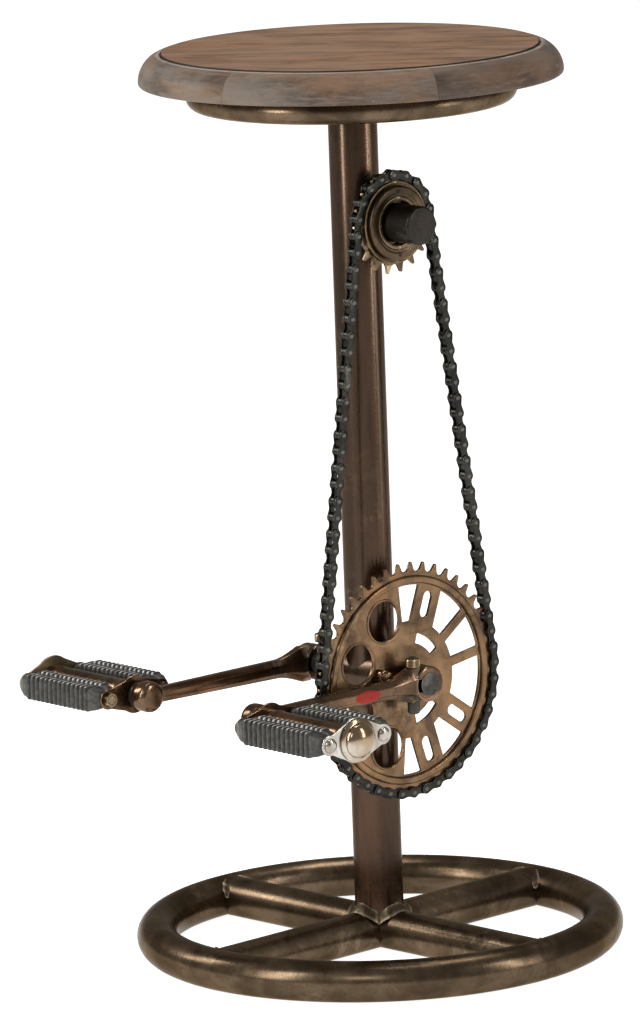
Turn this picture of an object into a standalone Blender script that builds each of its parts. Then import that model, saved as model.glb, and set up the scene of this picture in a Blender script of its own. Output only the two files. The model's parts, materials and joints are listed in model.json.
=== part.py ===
"""Bar stool with a round wooden seat on a post, and a bicycle crank drive as its foot-rest.

Metres, +Z up. The origin is on the floor at the middle of the base. +X points to the chain side,
along the crank axle, and the cranks point forward, along -Y.
"""

import math

import bmesh
import bpy
from mathutils import Vector

OBJECT_NAME = "bicycle_drive_bar_stool"

# Clearance between pieces that touch on the real object
GAP = 0.0003

# Seat
SEAT_HEIGHT = 0.7095
SEAT_RADIUS = 0.1635
SEAT_THICKNESS = 0.0245
SEAT_RIM_WIDTH = 0.0183
SEAT_RIM_DROP = 0.0215
SEAT_RIM_FULLNESS = 1.84
SEAT_LOWER_ROUND = 0.0025
SEAT_GROOVE = 0.0012
SEAT_RING_RADIUS = 0.1178
SEAT_RING_TUBE = 0.0195
SEAT_BAR_WIDTH = 0.025
SEAT_BAR_THICKNESS = 0.0045
SEAT_SCREW_CIRCLE = 0.062
SEAT_SCREW_DIAMETER = 0.0045
SEAT_SCREW_HEAD = 0.010
SEAT_SCREW_HEAD_HEIGHT = 0.003
SEAT_SCREW_HEAD_TAPER = 0.7
SEAT_SCREW_BITE = 0.018

# Post and base
POST_DIAMETER = 0.0381
POST_WALL = 0.002
BASE_RING_RADIUS = 0.1746
BASE_TUBE = 0.03175
BASE_TUBE_WALL = 0.002
BASE_TURN = math.radians(2.5)

# Chain and sprockets
CHAIN_PITCH = 0.0127
CHAIN_LINK_PAIRS = 44
CHAINRING_TEETH = 44
FREEWHEEL_TEETH = 18
ROLLER_DIAMETER = 0.0077
ROLLER_FACET_SHARE = 0.88
CHAIN_INNER_WIDTH = 0.0034
CHAIN_PLATE_THICKNESS = 0.0011
CHAIN_PLATE_HEIGHT = 0.0083
CHAIN_PLATE_SHOULDER = 0.92
CHAIN_PLATE_SETBACK = 0.55
CHAIN_PIN_DIAMETER = 0.0042
SPROCKET_THICKNESS = 0.0026
TOOTH_ADDENDUM = 0.0034
TOOTH_SEAT_HALF_ANGLE = math.radians(40)

# Chainring
CHAINRING_RIM_OUTER = 0.0820
CHAINRING_RIM_INNER = 0.0755
CHAINRING_RIM_RISE = 0.0025
CHAINRING_WINDOW_OUTER = 0.0744
CHAINRING_WINDOW_INNER = 0.0460
CHAINRING_HOLE_RADIUS = 0.0157
CHAINRING_HOLE_CIRCLE = 0.0550
CHAINRING_HOLE_COUNT = 4
CHAINRING_HOLE_FIRST = math.radians(115.5)
CHAINRING_HOLE_STEP = math.radians(43)
CHAINRING_WEB_EDGES = (math.radians(-96), math.radians(95.5))
CHAINRING_NARROW_SPOKE = 0.0077
CHAINRING_WIDE_SPOKE = 0.0248
CHAINRING_MIDDLE_SPOKE = 0.0210
CHAINRING_SPOKE_SLOT = 0.0085
CHAINRING_SPOKE_SLOT_LAND = 0.0038
CHAINRING_WIDE_ANGLES = (math.radians(-72.5), math.radians(70))
CHAINRING_MIDDLE_ANGLE = math.radians(-35)
CHAINRING_NARROW_ANGLES = (math.radians(9), math.radians(36))
CHAINRING_HUB_SLOT_CIRCLE = 0.0328
CHAINRING_HUB_SLOT_WIDTH = 0.0078
CHAINRING_HUB_SLOT_HALF = math.radians(19.5)
CHAINRING_HUB_SLOT_ANGLES = (math.radians(54), math.radians(-59))

# Freewheel
STUB_DIAMETER = 0.030
STUB_STAND_OUT = 0.0338
STUB_CHAMFER = 0.001
SLEEVE_WALL = 0.0020
SLEEVE_POST_GAP = 0.0035
SLEEVE_SET_BACK = 0.0010
FREEWHEEL_BODY_WALL = 0.0065
FREEWHEEL_BODY_WIDTH = 0.0125
FREEWHEEL_NECK_WALL = 0.0026
FREEWHEEL_SHELL_WALL = 0.0068
FREEWHEEL_SHELL_WIDTH = 0.0088
LOCKRING_DIAMETER = 0.057
LOCKRING_THICKNESS = 0.0034
LOCKRING_EDGE = 0.0011
LOCKRING_PIN_HOLE = 0.0034
LOCKRING_PIN_CIRCLE = 0.0245

# Bottom bracket
FOOTREST_DROP = 0.4905
BB_SHELL_DIAMETER = 0.040
BB_SHELL_WALL = 0.0026
BB_SHELL_WIDTH = 0.073
BB_CUP_WALL = 0.0018
BB_CUP_DEPTH = 0.012
BB_CUP_FLANGE_THICKNESS = 0.0034
BB_CUP_FLANGE_LIP = 0.0005
BB_CUP_CHAINRING_GAP = 0.0005
BB_BALL = 0.0044
AXLE_DIAMETER = 0.0185
AXLE_WAIST_DIAMETER = 0.0165
AXLE_STAND_OUT = 0.0012

# Cranks, measured from the crank's own middle plane where not said otherwise
CRANK_LENGTH = 0.170
CRANK_CHAINRING_OFFSET = 0.0174
LEFT_CRANK_STAND_OFF = 0.0287
CRANK_BOSS_RADIUS = 0.0140
CRANK_BOSS_WIDTH = 0.017
CRANK_BOSS_EDGE = 0.0015
CRANK_SHOULDER_LENGTH = 0.024
CRANK_SHOULDER_HOLLOW = 0.45
CRANK_ARM_HEIGHT_AT_BOSS = 0.0145
CRANK_ARM_HEIGHT_AT_EYE = 0.0120
CRANK_ARM_FLATNESS = 0.85
CRANK_EYE_RADIUS = 0.0120
CRANK_EYE_WIDTH = 0.015
CRANK_EYE_EDGE = 0.003
CRANK_SPIGOT_WALL = 0.0024
COTTER_DIAMETER = 0.0095
COTTER_OFFSET = 0.0100
COTTER_FLAT = 0.0066
COTTER_TAIL = 0.0085
COTTER_THREAD = 0.0060
COTTER_THREAD_STAND_OUT = 0.0015
COTTER_NUT_FLATS = 0.0105
COTTER_NUT_HEIGHT = 0.0062
DRIVE_PIN_DIAMETER = 0.010
DRIVE_PIN_FORWARD = 0.030
DRIVE_PIN_RAISE = 0.009
DRIVE_PIN_DEPTH = 0.002

# Pedals, measured outward from the crank's middle plane along the spindle
PEDAL_THREAD_DIAMETER = 0.014
PEDAL_CONE_DIAMETER = 0.021
PEDAL_CONE_LENGTH = 0.0065
PEDAL_SPINDLE_DIAMETER = 0.010
PEDAL_BARREL_DIAMETER = 0.021
PEDAL_BARREL_WALL = 0.0015
PEDAL_BARREL_CUP_DEPTH = 0.008
PEDAL_BLOCK_LENGTH = 0.096
PEDAL_BLOCK_WIDTH = 0.0245
PEDAL_BLOCK_HEIGHT = 0.020
PEDAL_BLOCK_TAPER = 0.011
PEDAL_BLOCK_TIP = 0.74
PEDAL_BLOCK_RIBS = 14
PEDAL_RIB_DEPTH = 0.10
PEDAL_BOLT_SPREAD = 0.0265
PEDAL_BOLT_DIAMETER = 0.006
PEDAL_BOLT_HEAD = 0.0115
PEDAL_BOLT_HEAD_HEIGHT = 0.0028
PEDAL_BOLT_HEAD_TAPER = 0.75
PEDAL_NUT_FLATS = 0.010
PEDAL_NUT_HEIGHT = 0.0036
PEDAL_PLATE_THICKNESS = 0.0015
PEDAL_OUTER_PLATE_DISC = 0.0175
PEDAL_INNER_PLATE_DISC = 0.0150
PEDAL_PLATE_LOBE = 0.0080
PEDAL_PLATE_SHOULDER = math.radians(55)
PEDAL_CAP_RADIUS = 0.0168
PEDAL_DOME_RADIUS = 0.0135
PEDAL_CAP_HEIGHT = 0.0100
PEDAL_CAP_WALL = 0.0012

# Sides of round pieces
TUBE_SIDES = 10
RING_STEPS = 28
SEAT_STEPS = 30
ROUND_SIDES = 12
SMALL_SIDES = 8
HEX_SIDES = 6
RIM_STEPS = 28
RIM_CROWN_STEPS = 5
DOME_STEPS = 3
ARM_SIDES = 8
SHOULDER_STEPS = 3

# Derived heights and radii
SEAT_PANEL_RADIUS = SEAT_RADIUS - SEAT_RIM_WIDTH
SEAT_UNDERSIDE = SEAT_HEIGHT - SEAT_THICKNESS
SEAT_RING_TOP = SEAT_UNDERSIDE - GAP
SEAT_RING_HEIGHT = SEAT_RING_TOP - SEAT_RING_TUBE / 2
SEAT_BAR_UNDERSIDE = SEAT_RING_TOP - SEAT_BAR_THICKNESS
POST_RADIUS = POST_DIAMETER / 2
BASE_TUBE_RADIUS = BASE_TUBE / 2
AXLE_RADIUS = AXLE_DIAMETER / 2
BB_SHELL_RADIUS = BB_SHELL_DIAMETER / 2
CRANK_HEIGHT = SEAT_HEIGHT - FOOTREST_DROP
BB_CUP_FACE = BB_SHELL_WIDTH / 2 + GAP + BB_CUP_FLANGE_THICKNESS
CHAIN_LINE = BB_CUP_FACE + BB_CUP_CHAINRING_GAP + SPROCKET_THICKNESS / 2
RIGHT_CRANK_OFFSET = CHAIN_LINE + CRANK_CHAINRING_OFFSET
LEFT_CRANK_OFFSET = BB_CUP_FACE + LEFT_CRANK_STAND_OFF
STUB_REACH = CHAIN_LINE + STUB_STAND_OUT
SLEEVE_INNER_END = POST_RADIUS + SLEEVE_POST_GAP
SLEEVE_OUTER_END = CHAIN_LINE - SLEEVE_SET_BACK

# Turns a piece so that its own x, y and z run along the object's Y, Z and X
SIDEWAYS = (math.pi / 2, 0.0, math.pi / 2)
UPRIGHT = (0.0, 0.0, 0.0)
ALONG_CROSS_TUBE = (math.pi / 2, 0.0, math.pi / 2 + BASE_TURN)
ALONG_SPOKES = (-math.pi / 2, 0.0, BASE_TURN)

# Finishes: colour, roughness, metallic
DARK_BRONZE = ((0.085, 0.055, 0.040), 0.38, 0.9)
COPPER_BRONZE = ((0.300, 0.165, 0.085), 0.36, 0.9)
CHAIN_BLACK = ((0.055, 0.055, 0.050), 0.42, 0.9)
STEEL = ((0.420, 0.400, 0.370), 0.35, 1.0)
BRASS = ((0.480, 0.340, 0.160), 0.32, 1.0)
CHROME = ((0.760, 0.740, 0.700), 0.18, 1.0)
BLACK_STEEL = ((0.035, 0.035, 0.035), 0.45, 0.8)
RUBBER = ((0.045, 0.043, 0.038), 0.75, 0.0)
PANEL_WOOD = ((0.245, 0.130, 0.070), 0.55, 0.0)
RIM_WOOD = ((0.205, 0.150, 0.115), 0.60, 0.0)


def clear_scene():
    for obj in list(bpy.data.objects):
        bpy.data.objects.remove(obj, do_unlink=True)


def new_collection(name):
    collection = bpy.data.collections.new(name)
    bpy.context.scene.collection.children.link(collection)
    return collection


clear_scene()
PARTS = new_collection(OBJECT_NAME)
CUTTERS = new_collection("cutters")


def add_axis(name, location, parent=None):
    """An empty on a joint's axis, which the pieces that turn there hang on."""
    axis = bpy.data.objects.new(name, None)
    axis.location = location
    axis.parent = parent
    PARTS.objects.link(axis)
    return axis


def finish_part(obj, finish):
    """Give the piece a material of its own and smooth its round faces."""
    colour, roughness, metallic = finish
    material = bpy.data.materials.new(obj.name + "_finish")
    material.use_nodes = True
    shader = material.node_tree.nodes["Principled BSDF"]
    shader.inputs["Base Color"].default_value = (*colour, 1.0)
    shader.inputs["Roughness"].default_value = roughness
    shader.inputs["Metallic"].default_value = metallic
    obj.data.materials.append(material)
    obj.data.shade_smooth()
    obj.data.set_sharp_from_angle(angle=math.radians(35))
    return obj


def as_cutter(obj):
    """Keep the object as a tool for Booleans only."""
    for collection in obj.users_collection:
        collection.objects.unlink(obj)
    CUTTERS.objects.link(obj)
    obj.hide_render = True
    obj.display_type = "WIRE"
    return obj


def put(obj, location, rotation, parent):
    obj.location = location
    obj.rotation_euler = rotation
    obj.parent = parent
    PARTS.objects.link(obj)
    return obj


def boolean(obj, other, operation):
    modifier = obj.modifiers.new(operation.lower(), "BOOLEAN")
    modifier.operation = operation
    modifier.solver = "EXACT"
    modifier.object = other
    return obj


def cut(obj, *cutters):
    for cutter in cutters:
        boolean(obj, cutter, "DIFFERENCE")
    return obj


def join(obj, *others):
    for other in others:
        boolean(obj, as_cutter(other), "UNION")
    return obj


def turned(name, profile, steps, rotation=UPRIGHT, location=(0, 0, 0), parent=None, ring=False):
    """Turn a profile of (radius, height) points, listed from the top down its outer side."""
    mesh = bpy.data.meshes.new(name)
    shape = bmesh.new()
    points = [shape.verts.new((radius, 0, height)) for radius, height in profile]
    for first, second in zip(points, points[1:]):
        shape.edges.new((first, second))
    if ring:
        shape.edges.new((points[-1], points[0]))
    shape.to_mesh(mesh)
    shape.free()
    obj = put(bpy.data.objects.new(name, mesh), location, rotation, parent)
    screw = obj.modifiers.new("turn", "SCREW")
    screw.axis = "Z"
    screw.angle = 2 * math.pi
    screw.steps = steps
    screw.render_steps = steps
    screw.use_merge_vertices = True
    screw.merge_threshold = 0.00001
    return obj


def rod(name, radius, low, high, steps, rotation=UPRIGHT, location=(0, 0, 0), parent=None):
    profile = [(0, high), (radius, high), (radius, low), (0, low)]
    return turned(name, profile, steps, rotation, location, parent)


def tube(name, outer, inner, low, high, steps, rotation=UPRIGHT, location=(0, 0, 0), parent=None):
    profile = [(outer, high), (outer, low), (inner, low), (inner, high)]
    return turned(name, profile, steps, rotation, location, parent, ring=True)


def flat_radius(radius, sides):
    """Corner radius of a polygon whose flats lie at the radius."""
    return radius / math.cos(math.pi / sides)


def running_bore(shaft_radius, sides):
    """Corner radius of a bore that a shaft of that radius can turn in."""
    return flat_radius(shaft_radius + GAP, sides)


def tube_ring(name, ring_radius, tube_radius, height):
    """A ring of round tube with a flat facet underneath and on top."""
    corner = flat_radius(tube_radius, TUBE_SIDES)
    profile = []
    for side in range(TUBE_SIDES):
        angle = math.pi / 2 - (side + 0.5) * 2 * math.pi / TUBE_SIDES
        profile.append((ring_radius + corner * math.cos(angle), height + corner * math.sin(angle)))
    return turned(name, profile, RING_STEPS, ring=True)


def as_mesh(obj):
    """Turn a curve object into a closed mesh object of the same name and place."""
    bpy.context.view_layer.update()
    evaluated = obj.evaluated_get(bpy.context.evaluated_depsgraph_get())
    mesh = bpy.data.meshes.new_from_object(evaluated)
    shape = bmesh.new()
    shape.from_mesh(mesh)
    bmesh.ops.remove_doubles(shape, verts=shape.verts, dist=0.000002)
    bmesh.ops.recalc_face_normals(shape, faces=shape.faces)
    bmesh.ops.dissolve_limit(shape, angle_limit=0.001, verts=shape.verts, edges=shape.edges)
    shape.to_mesh(mesh)
    shape.free()
    name = obj.name
    location = obj.location.copy()
    rotation = obj.rotation_euler.copy()
    parent = obj.parent
    bpy.data.objects.remove(obj, do_unlink=True)
    return put(bpy.data.objects.new(name, mesh), location, rotation, parent)


def closed_curve(name, outlines):
    curve = bpy.data.curves.new(name, "CURVE")
    curve.dimensions = "2D"
    for outline in outlines:
        spline = curve.splines.new("POLY")
        spline.points.add(len(outline) - 1)
        for point, (across, up) in zip(spline.points, outline):
            point.co = (across, up, 0, 1)
        spline.use_cyclic_u = True
    return curve


def flat_solid(name, outlines, thickness, middle, parent=None, axis_at=(0, 0)):
    """Extrude closed outlines, drawn in (Y, Z), along X about a middle plane."""
    curve = closed_curve(name, outlines)
    curve.fill_mode = "BOTH"
    curve.extrude = thickness / 2
    place = (middle, axis_at[0], axis_at[1])
    return as_mesh(put(bpy.data.objects.new(name, curve), place, SIDEWAYS, parent))


def box(name, size, centre, parent=None):
    mesh = bpy.data.meshes.new(name)
    shape = bmesh.new()
    bmesh.ops.create_cube(shape, size=1.0)
    bmesh.ops.scale(shape, vec=size, verts=shape.verts)
    shape.to_mesh(mesh)
    shape.free()
    return put(bpy.data.objects.new(name, mesh), centre, UPRIGHT, parent)


def arc(centre, radius, start, end, count):
    """Points along an arc in the (Y, Z) plane, both ends included."""
    points = []
    for index in range(count):
        angle = start + (end - start) * index / (count - 1)
        points.append((centre[0] + radius * math.cos(angle), centre[1] + radius * math.sin(angle)))
    return points


def circle(centre, radius, sides):
    return arc(centre, radius, 0, 2 * math.pi * (sides - 1) / sides, sides)


# Base


def build_base():
    ring_cutter = as_cutter(
        tube_ring("base_ring_space", BASE_RING_RADIUS, BASE_TUBE_RADIUS + GAP, BASE_TUBE_RADIUS)
    )
    outer = flat_radius(BASE_TUBE_RADIUS, TUBE_SIDES)
    inner = flat_radius(BASE_TUBE_RADIUS - BASE_TUBE_WALL, TUBE_SIDES)
    space = flat_radius(BASE_TUBE_RADIUS + GAP, TUBE_SIDES)
    axis = (0, 0, BASE_TUBE_RADIUS)
    reach = BASE_RING_RADIUS

    ring = tube_ring("base_ring", BASE_RING_RADIUS, BASE_TUBE_RADIUS, BASE_TUBE_RADIUS)
    finish_part(ring, DARK_BRONZE)

    along = ALONG_CROSS_TUBE
    cross = tube("base_cross_tube", outer, inner, -reach, reach, TUBE_SIDES, along, axis)
    finish_part(cut(cross, ring_cutter), DARK_BRONZE)
    cross_space = as_cutter(rod("base_cross_space", space, -reach, reach, TUBE_SIDES, along, axis))
    along = ALONG_SPOKES
    spoke_space = as_cutter(rod("base_spoke_space", space, -reach, reach, TUBE_SIDES, along, axis))

    front = tube("base_spoke_front", outer, inner, -reach, 0, TUBE_SIDES, along, axis)
    rear = tube("base_spoke_rear", outer, inner, 0, reach, TUBE_SIDES, along, axis)
    for spoke in (front, rear):
        finish_part(cut(spoke, ring_cutter, cross_space), DARK_BRONZE)
    return cross_space, spoke_space


# Post and bottom bracket shell


def build_post(base_spaces):
    shell_space = as_cutter(
        rod(
            "bb_shell_space",
            BB_SHELL_RADIUS + GAP,
            -BB_SHELL_WIDTH,
            BB_SHELL_WIDTH,
            2 * ROUND_SIDES,
            SIDEWAYS,
            (0, 0, CRANK_HEIGHT),
        )
    )
    inner = POST_RADIUS - POST_WALL
    top = SEAT_BAR_UNDERSIDE - GAP
    lower = tube("post_lower", POST_RADIUS, inner, BASE_TUBE_RADIUS, CRANK_HEIGHT, ROUND_SIDES)
    finish_part(cut(lower, *base_spaces, shell_space), DARK_BRONZE)
    upper = tube("post_upper", POST_RADIUS, inner, CRANK_HEIGHT, top, ROUND_SIDES)
    finish_part(cut(upper, shell_space), DARK_BRONZE)

    half = BB_SHELL_WIDTH / 2
    shell = tube(
        "bb_shell",
        BB_SHELL_RADIUS,
        BB_SHELL_RADIUS - BB_SHELL_WALL,
        -half,
        half,
        2 * ROUND_SIDES,
        SIDEWAYS,
        (0, 0, CRANK_HEIGHT),
    )
    finish_part(shell, DARK_BRONZE)


# Seat


def crown(radius):
    """Height of the seat's top: level over the panel, then rounding down across the rim."""
    share = max(0.0, radius - SEAT_PANEL_RADIUS) / SEAT_RIM_WIDTH
    fall = 1 - (1 - min(1.0, share) ** SEAT_RIM_FULLNESS) ** (1 / SEAT_RIM_FULLNESS)
    return SEAT_HEIGHT - SEAT_RIM_DROP * fall


def seat_screw_places():
    reach = SEAT_SCREW_CIRCLE
    return {"left": (-reach, 0), "right": (reach, 0), "front": (0, -reach), "rear": (0, reach)}


def build_seat():
    ring_cutter = as_cutter(
        tube_ring("seat_ring_space", SEAT_RING_RADIUS, SEAT_RING_TUBE / 2 + GAP, SEAT_RING_HEIGHT)
    )
    ring = tube_ring("seat_ring", SEAT_RING_RADIUS, SEAT_RING_TUBE / 2, SEAT_RING_HEIGHT)
    finish_part(ring, DARK_BRONZE)

    height = SEAT_BAR_UNDERSIDE + SEAT_BAR_THICKNESS / 2
    reach = SEAT_RING_RADIUS
    side_size = (2 * reach, SEAT_BAR_WIDTH, SEAT_BAR_THICKNESS)
    near = SEAT_BAR_WIDTH / 2 + GAP
    half_size = (SEAT_BAR_WIDTH, reach - near, SEAT_BAR_THICKNESS)
    middle = (reach + near) / 2
    bars = [
        box("seat_bar_side", side_size, (0, 0, height)),
        box("seat_bar_front", half_size, (0, -middle, height)),
        box("seat_bar_rear", half_size, (0, middle, height)),
    ]

    profile = [(0, SEAT_HEIGHT), (SEAT_PANEL_RADIUS - SEAT_GROOVE, SEAT_HEIGHT)]
    profile += [(SEAT_PANEL_RADIUS, SEAT_HEIGHT - SEAT_GROOVE), (SEAT_PANEL_RADIUS, SEAT_UNDERSIDE)]
    profile.append((0, SEAT_UNDERSIDE))
    panel = turned("seat_panel", profile, SEAT_STEPS)

    radius = SEAT_SCREW_DIAMETER / 2
    tip = SEAT_UNDERSIDE + SEAT_SCREW_BITE
    head_top = SEAT_BAR_UNDERSIDE - GAP
    head_bottom = head_top - SEAT_SCREW_HEAD_HEIGHT
    for side, (x, y) in seat_screw_places().items():
        profile = [
            (0, tip),
            (radius, tip - 2 * radius),
            (radius, head_top),
            (SEAT_SCREW_HEAD / 2, head_top),
            (SEAT_SCREW_HEAD / 2 * SEAT_SCREW_HEAD_TAPER, head_bottom),
            (0, head_bottom),
        ]
        screw = turned("seat_screw_" + side, profile, HEX_SIDES, location=(x, y, 0))
        finish_part(screw, STEEL)
        hole = rod(
            "seat_screw_space_" + side,
            radius + GAP,
            SEAT_BAR_UNDERSIDE - SEAT_BAR_THICKNESS,
            tip + GAP,
            HEX_SIDES,
            location=(x, y, 0),
        )
        as_cutter(hole)
        bar = {"front": bars[1], "rear": bars[2]}.get(side, bars[0])
        cut(bar, hole)
        cut(panel, hole)
    for bar in bars:
        finish_part(cut(bar, ring_cutter), DARK_BRONZE)
    finish_part(panel, PANEL_WOOD)

    inner = SEAT_PANEL_RADIUS + GAP
    width = SEAT_RADIUS - inner
    turn = math.pi / 2 / RIM_CROWN_STEPS
    outer = [inner + width * math.sin(turn * step) for step in range(1, RIM_CROWN_STEPS + 1)]
    profile = [(inner, crown(inner) - SEAT_GROOVE), (inner + SEAT_GROOVE, crown(inner + SEAT_GROOVE))]
    profile += [(radius, crown(radius)) for radius in outer]
    low_centre = (SEAT_RADIUS - SEAT_LOWER_ROUND, SEAT_UNDERSIDE + SEAT_LOWER_ROUND)
    profile += arc(low_centre, SEAT_LOWER_ROUND, 0, -math.pi / 2, 3)
    profile += [(inner, SEAT_UNDERSIDE)]
    finish_part(turned("seat_rim", profile, SEAT_STEPS, ring=True), RIM_WOOD)


# Chain drive


def pitch_radius(teeth):
    return CHAIN_PITCH / (2 * math.sin(math.pi / teeth))


def chain_layout():
    """Roller centres round the loop, from the bottom of the chainring, and the centre distance.

    Both sprockets have a tooth gap on the vertical centre line, so the loop is symmetric: half of
    it climbs the chainring, runs straight and turns over the freewheel in whole links.
    """
    large = pitch_radius(CHAINRING_TEETH)
    small = pitch_radius(FREEWHEEL_TEETH)
    large_step = 2 * math.pi / CHAINRING_TEETH
    small_step = 2 * math.pi / FREEWHEEL_TEETH
    guess = CHAIN_PITCH * (CHAIN_LINK_PAIRS - (CHAINRING_TEETH + FREEWHEEL_TEETH) / 4)
    lean = math.atan2(large - small, guess)
    on_large = round((math.pi / 2 + lean) / large_step)
    on_small = round((math.pi / 2 - lean) / small_step)
    straight = CHAIN_LINK_PAIRS - on_large - on_small

    leaves = -math.pi / 2 + on_large * large_step
    meets = math.pi / 2 - on_small * small_step
    start = Vector((large * math.cos(leaves), large * math.sin(leaves)))
    meeting = Vector((small * math.cos(meets), small * math.sin(meets)))
    run = straight * CHAIN_PITCH
    rise = math.sqrt(run * run - (start.x - meeting.x) ** 2)
    distance = rise + start.y - meeting.y

    end = meeting + Vector((0, distance))
    climb = arc((0, 0), large, -math.pi / 2, leaves, on_large + 1)
    climb += [tuple(start.lerp(end, step / straight)) for step in range(1, straight)]
    climb += arc((0, distance), small, meets, math.pi / 2, on_small + 1)
    descent = [(-across, up) for across, up in reversed(climb[1:-1])]
    return climb + descent, distance


ROLLERS, CENTRE_DISTANCE = chain_layout()
FREEWHEEL_HEIGHT = CRANK_HEIGHT + CENTRE_DISTANCE


def plate_outline(first, second):
    """A six-sided link plate round two roller centres."""
    first = Vector(first)
    second = Vector(second)
    along = (second - first).normalized()
    across = Vector((-along.y, along.x))
    half = CHAIN_PLATE_HEIGHT / 2
    shoulder = across * half * CHAIN_PLATE_SHOULDER
    setback = along * half * CHAIN_PLATE_SETBACK
    points = [
        first - along * half,
        first - setback - shoulder,
        second + setback - shoulder,
        second + along * half,
        second + setback + shoulder,
        first - setback + shoulder,
    ]
    return [tuple(point) for point in points]


def build_chain():
    pairs = list(zip(ROLLERS, ROLLERS[1:] + ROLLERS[:1]))
    inner_links = [plate_outline(*pair) for pair in pairs[0::2]]
    outer_links = [plate_outline(*pair) for pair in pairs[1::2]]
    inner_middle = (CHAIN_INNER_WIDTH + CHAIN_PLATE_THICKNESS) / 2
    outer_middle = inner_middle + CHAIN_PLATE_THICKNESS + GAP
    roller = ROLLER_DIAMETER / 2 * ROLLER_FACET_SHARE
    pin = CHAIN_PIN_DIAMETER / 2
    axis = (0, CRANK_HEIGHT)

    links = []
    for side in (-1, 1):
        inner = CHAIN_LINE + side * inner_middle
        outer = CHAIN_LINE + side * outer_middle
        links.append(flat_solid("inner_plates", inner_links, CHAIN_PLATE_THICKNESS, inner, None, axis))
        links.append(flat_solid("outer_plates", outer_links, CHAIN_PLATE_THICKNESS, outer, None, axis))
    rollers = [circle(centre, roller, 4) for centre in ROLLERS]
    roller_set = flat_solid("rollers", rollers, 2 * inner_middle, CHAIN_LINE, None, axis)
    pins = [circle(centre, pin, 3) for centre in ROLLERS]
    pin_length = 2 * outer_middle
    pin_set = flat_solid("pins", pins, pin_length, CHAIN_LINE, None, axis)

    plates = bmesh.new()
    bpy.context.view_layer.update()
    for link in links:
        link.data.transform(link.matrix_world)
        plates.from_mesh(link.data)
        bpy.data.objects.remove(link, do_unlink=True)
    mesh = bpy.data.meshes.new("chain")
    plates.to_mesh(mesh)
    plates.free()
    chain = put(bpy.data.objects.new("chain", mesh), (0, 0, 0), UPRIGHT, None)
    finish_part(join(chain, roller_set, pin_set), CHAIN_BLACK)


def toothed_outline(teeth, gap_angle):
    """Sprocket outline with a tooth gap at an angle and flat-bottomed seats for the rollers."""
    radius = pitch_radius(teeth)
    seat = flat_radius(ROLLER_DIAMETER / 2 + GAP, math.pi / TOOTH_SEAT_HALF_ANGLE)
    inward = seat * math.cos(TOOTH_SEAT_HALF_ANGLE)
    sideways = seat * math.sin(TOOTH_SEAT_HALF_ANGLE)
    root = math.hypot(radius - inward, sideways)
    root_angle = math.atan2(sideways, radius - inward)
    step = 2 * math.pi / teeth
    points = []
    for tooth in range(teeth):
        angle = gap_angle + tooth * step
        for turn, reach in ((-root_angle, root), (root_angle, root), (step / 2, radius + TOOTH_ADDENDUM)):
            points.append((reach * math.cos(angle + turn), reach * math.sin(angle + turn)))
    return points


def radial_edge(angle, offset, radius):
    """The angle at which a line beside a spoke's centre line, at an offset, meets a radius."""
    return angle + math.asin(offset / radius)


def window(start, start_offset, end, end_offset):
    """A window between two spokes, from hub to rim."""
    outer = CHAINRING_WINDOW_OUTER
    inner = CHAINRING_WINDOW_INNER
    rim = arc(
        (0, 0), outer, radial_edge(start, start_offset, outer), radial_edge(end, -end_offset, outer), 4
    )
    hub = arc(
        (0, 0), inner, radial_edge(end, -end_offset, inner), radial_edge(start, start_offset, inner), 3
    )
    return rim + hub


def spoke_slot(angle):
    """A plain slot along the middle of a wide spoke."""
    half = CHAINRING_SPOKE_SLOT / 2
    inner = CHAINRING_WINDOW_INNER + CHAINRING_SPOKE_SLOT_LAND + half
    outer = CHAINRING_WINDOW_OUTER - CHAINRING_SPOKE_SLOT_LAND - half
    along = Vector((math.cos(angle), math.sin(angle)))
    far = arc(tuple(along * outer), half, angle - math.pi / 2, angle + math.pi / 2, 4)
    near = arc(tuple(along * inner), half, angle + math.pi / 2, angle + 3 * math.pi / 2, 4)
    return far + near


def hub_slot(angle):
    """A curved slot round the hub."""
    outer = CHAINRING_HUB_SLOT_CIRCLE + CHAINRING_HUB_SLOT_WIDTH / 2
    inner = CHAINRING_HUB_SLOT_CIRCLE - CHAINRING_HUB_SLOT_WIDTH / 2
    half = CHAINRING_HUB_SLOT_HALF
    return arc((0, 0), outer, angle - half, angle + half, 4) + arc(
        (0, 0), inner, angle + half, angle - half, 4
    )


def chainring_windows():
    spokes = [(angle, CHAINRING_WIDE_SPOKE / 2) for angle in CHAINRING_WIDE_ANGLES]
    spokes.append((CHAINRING_MIDDLE_ANGLE, CHAINRING_MIDDLE_SPOKE / 2))
    slots = [spoke_slot(angle) for angle, half in spokes]
    spokes += [(angle, CHAINRING_NARROW_SPOKE / 2) for angle in CHAINRING_NARROW_ANGLES]
    edges = [(CHAINRING_WEB_EDGES[0], 0.0)] + sorted(spokes) + [(CHAINRING_WEB_EDGES[1], 0.0)]
    windows = [window(*first, *second) for first, second in zip(edges, edges[1:])]
    windows += slots
    windows += [hub_slot(angle) for angle in CHAINRING_HUB_SLOT_ANGLES]
    for index in range(CHAINRING_HOLE_COUNT):
        angle = CHAINRING_HOLE_FIRST + index * CHAINRING_HOLE_STEP
        centre = (CHAINRING_HOLE_CIRCLE * math.cos(angle), CHAINRING_HOLE_CIRCLE * math.sin(angle))
        windows.append(circle(centre, CHAINRING_HOLE_RADIUS, ROUND_SIDES))
    return windows


CRANK_SPIGOT_RADIUS = AXLE_RADIUS + GAP + CRANK_SPIGOT_WALL
DRIVE_PIN_PLACE = (-DRIVE_PIN_FORWARD, DRIVE_PIN_RAISE)


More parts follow.
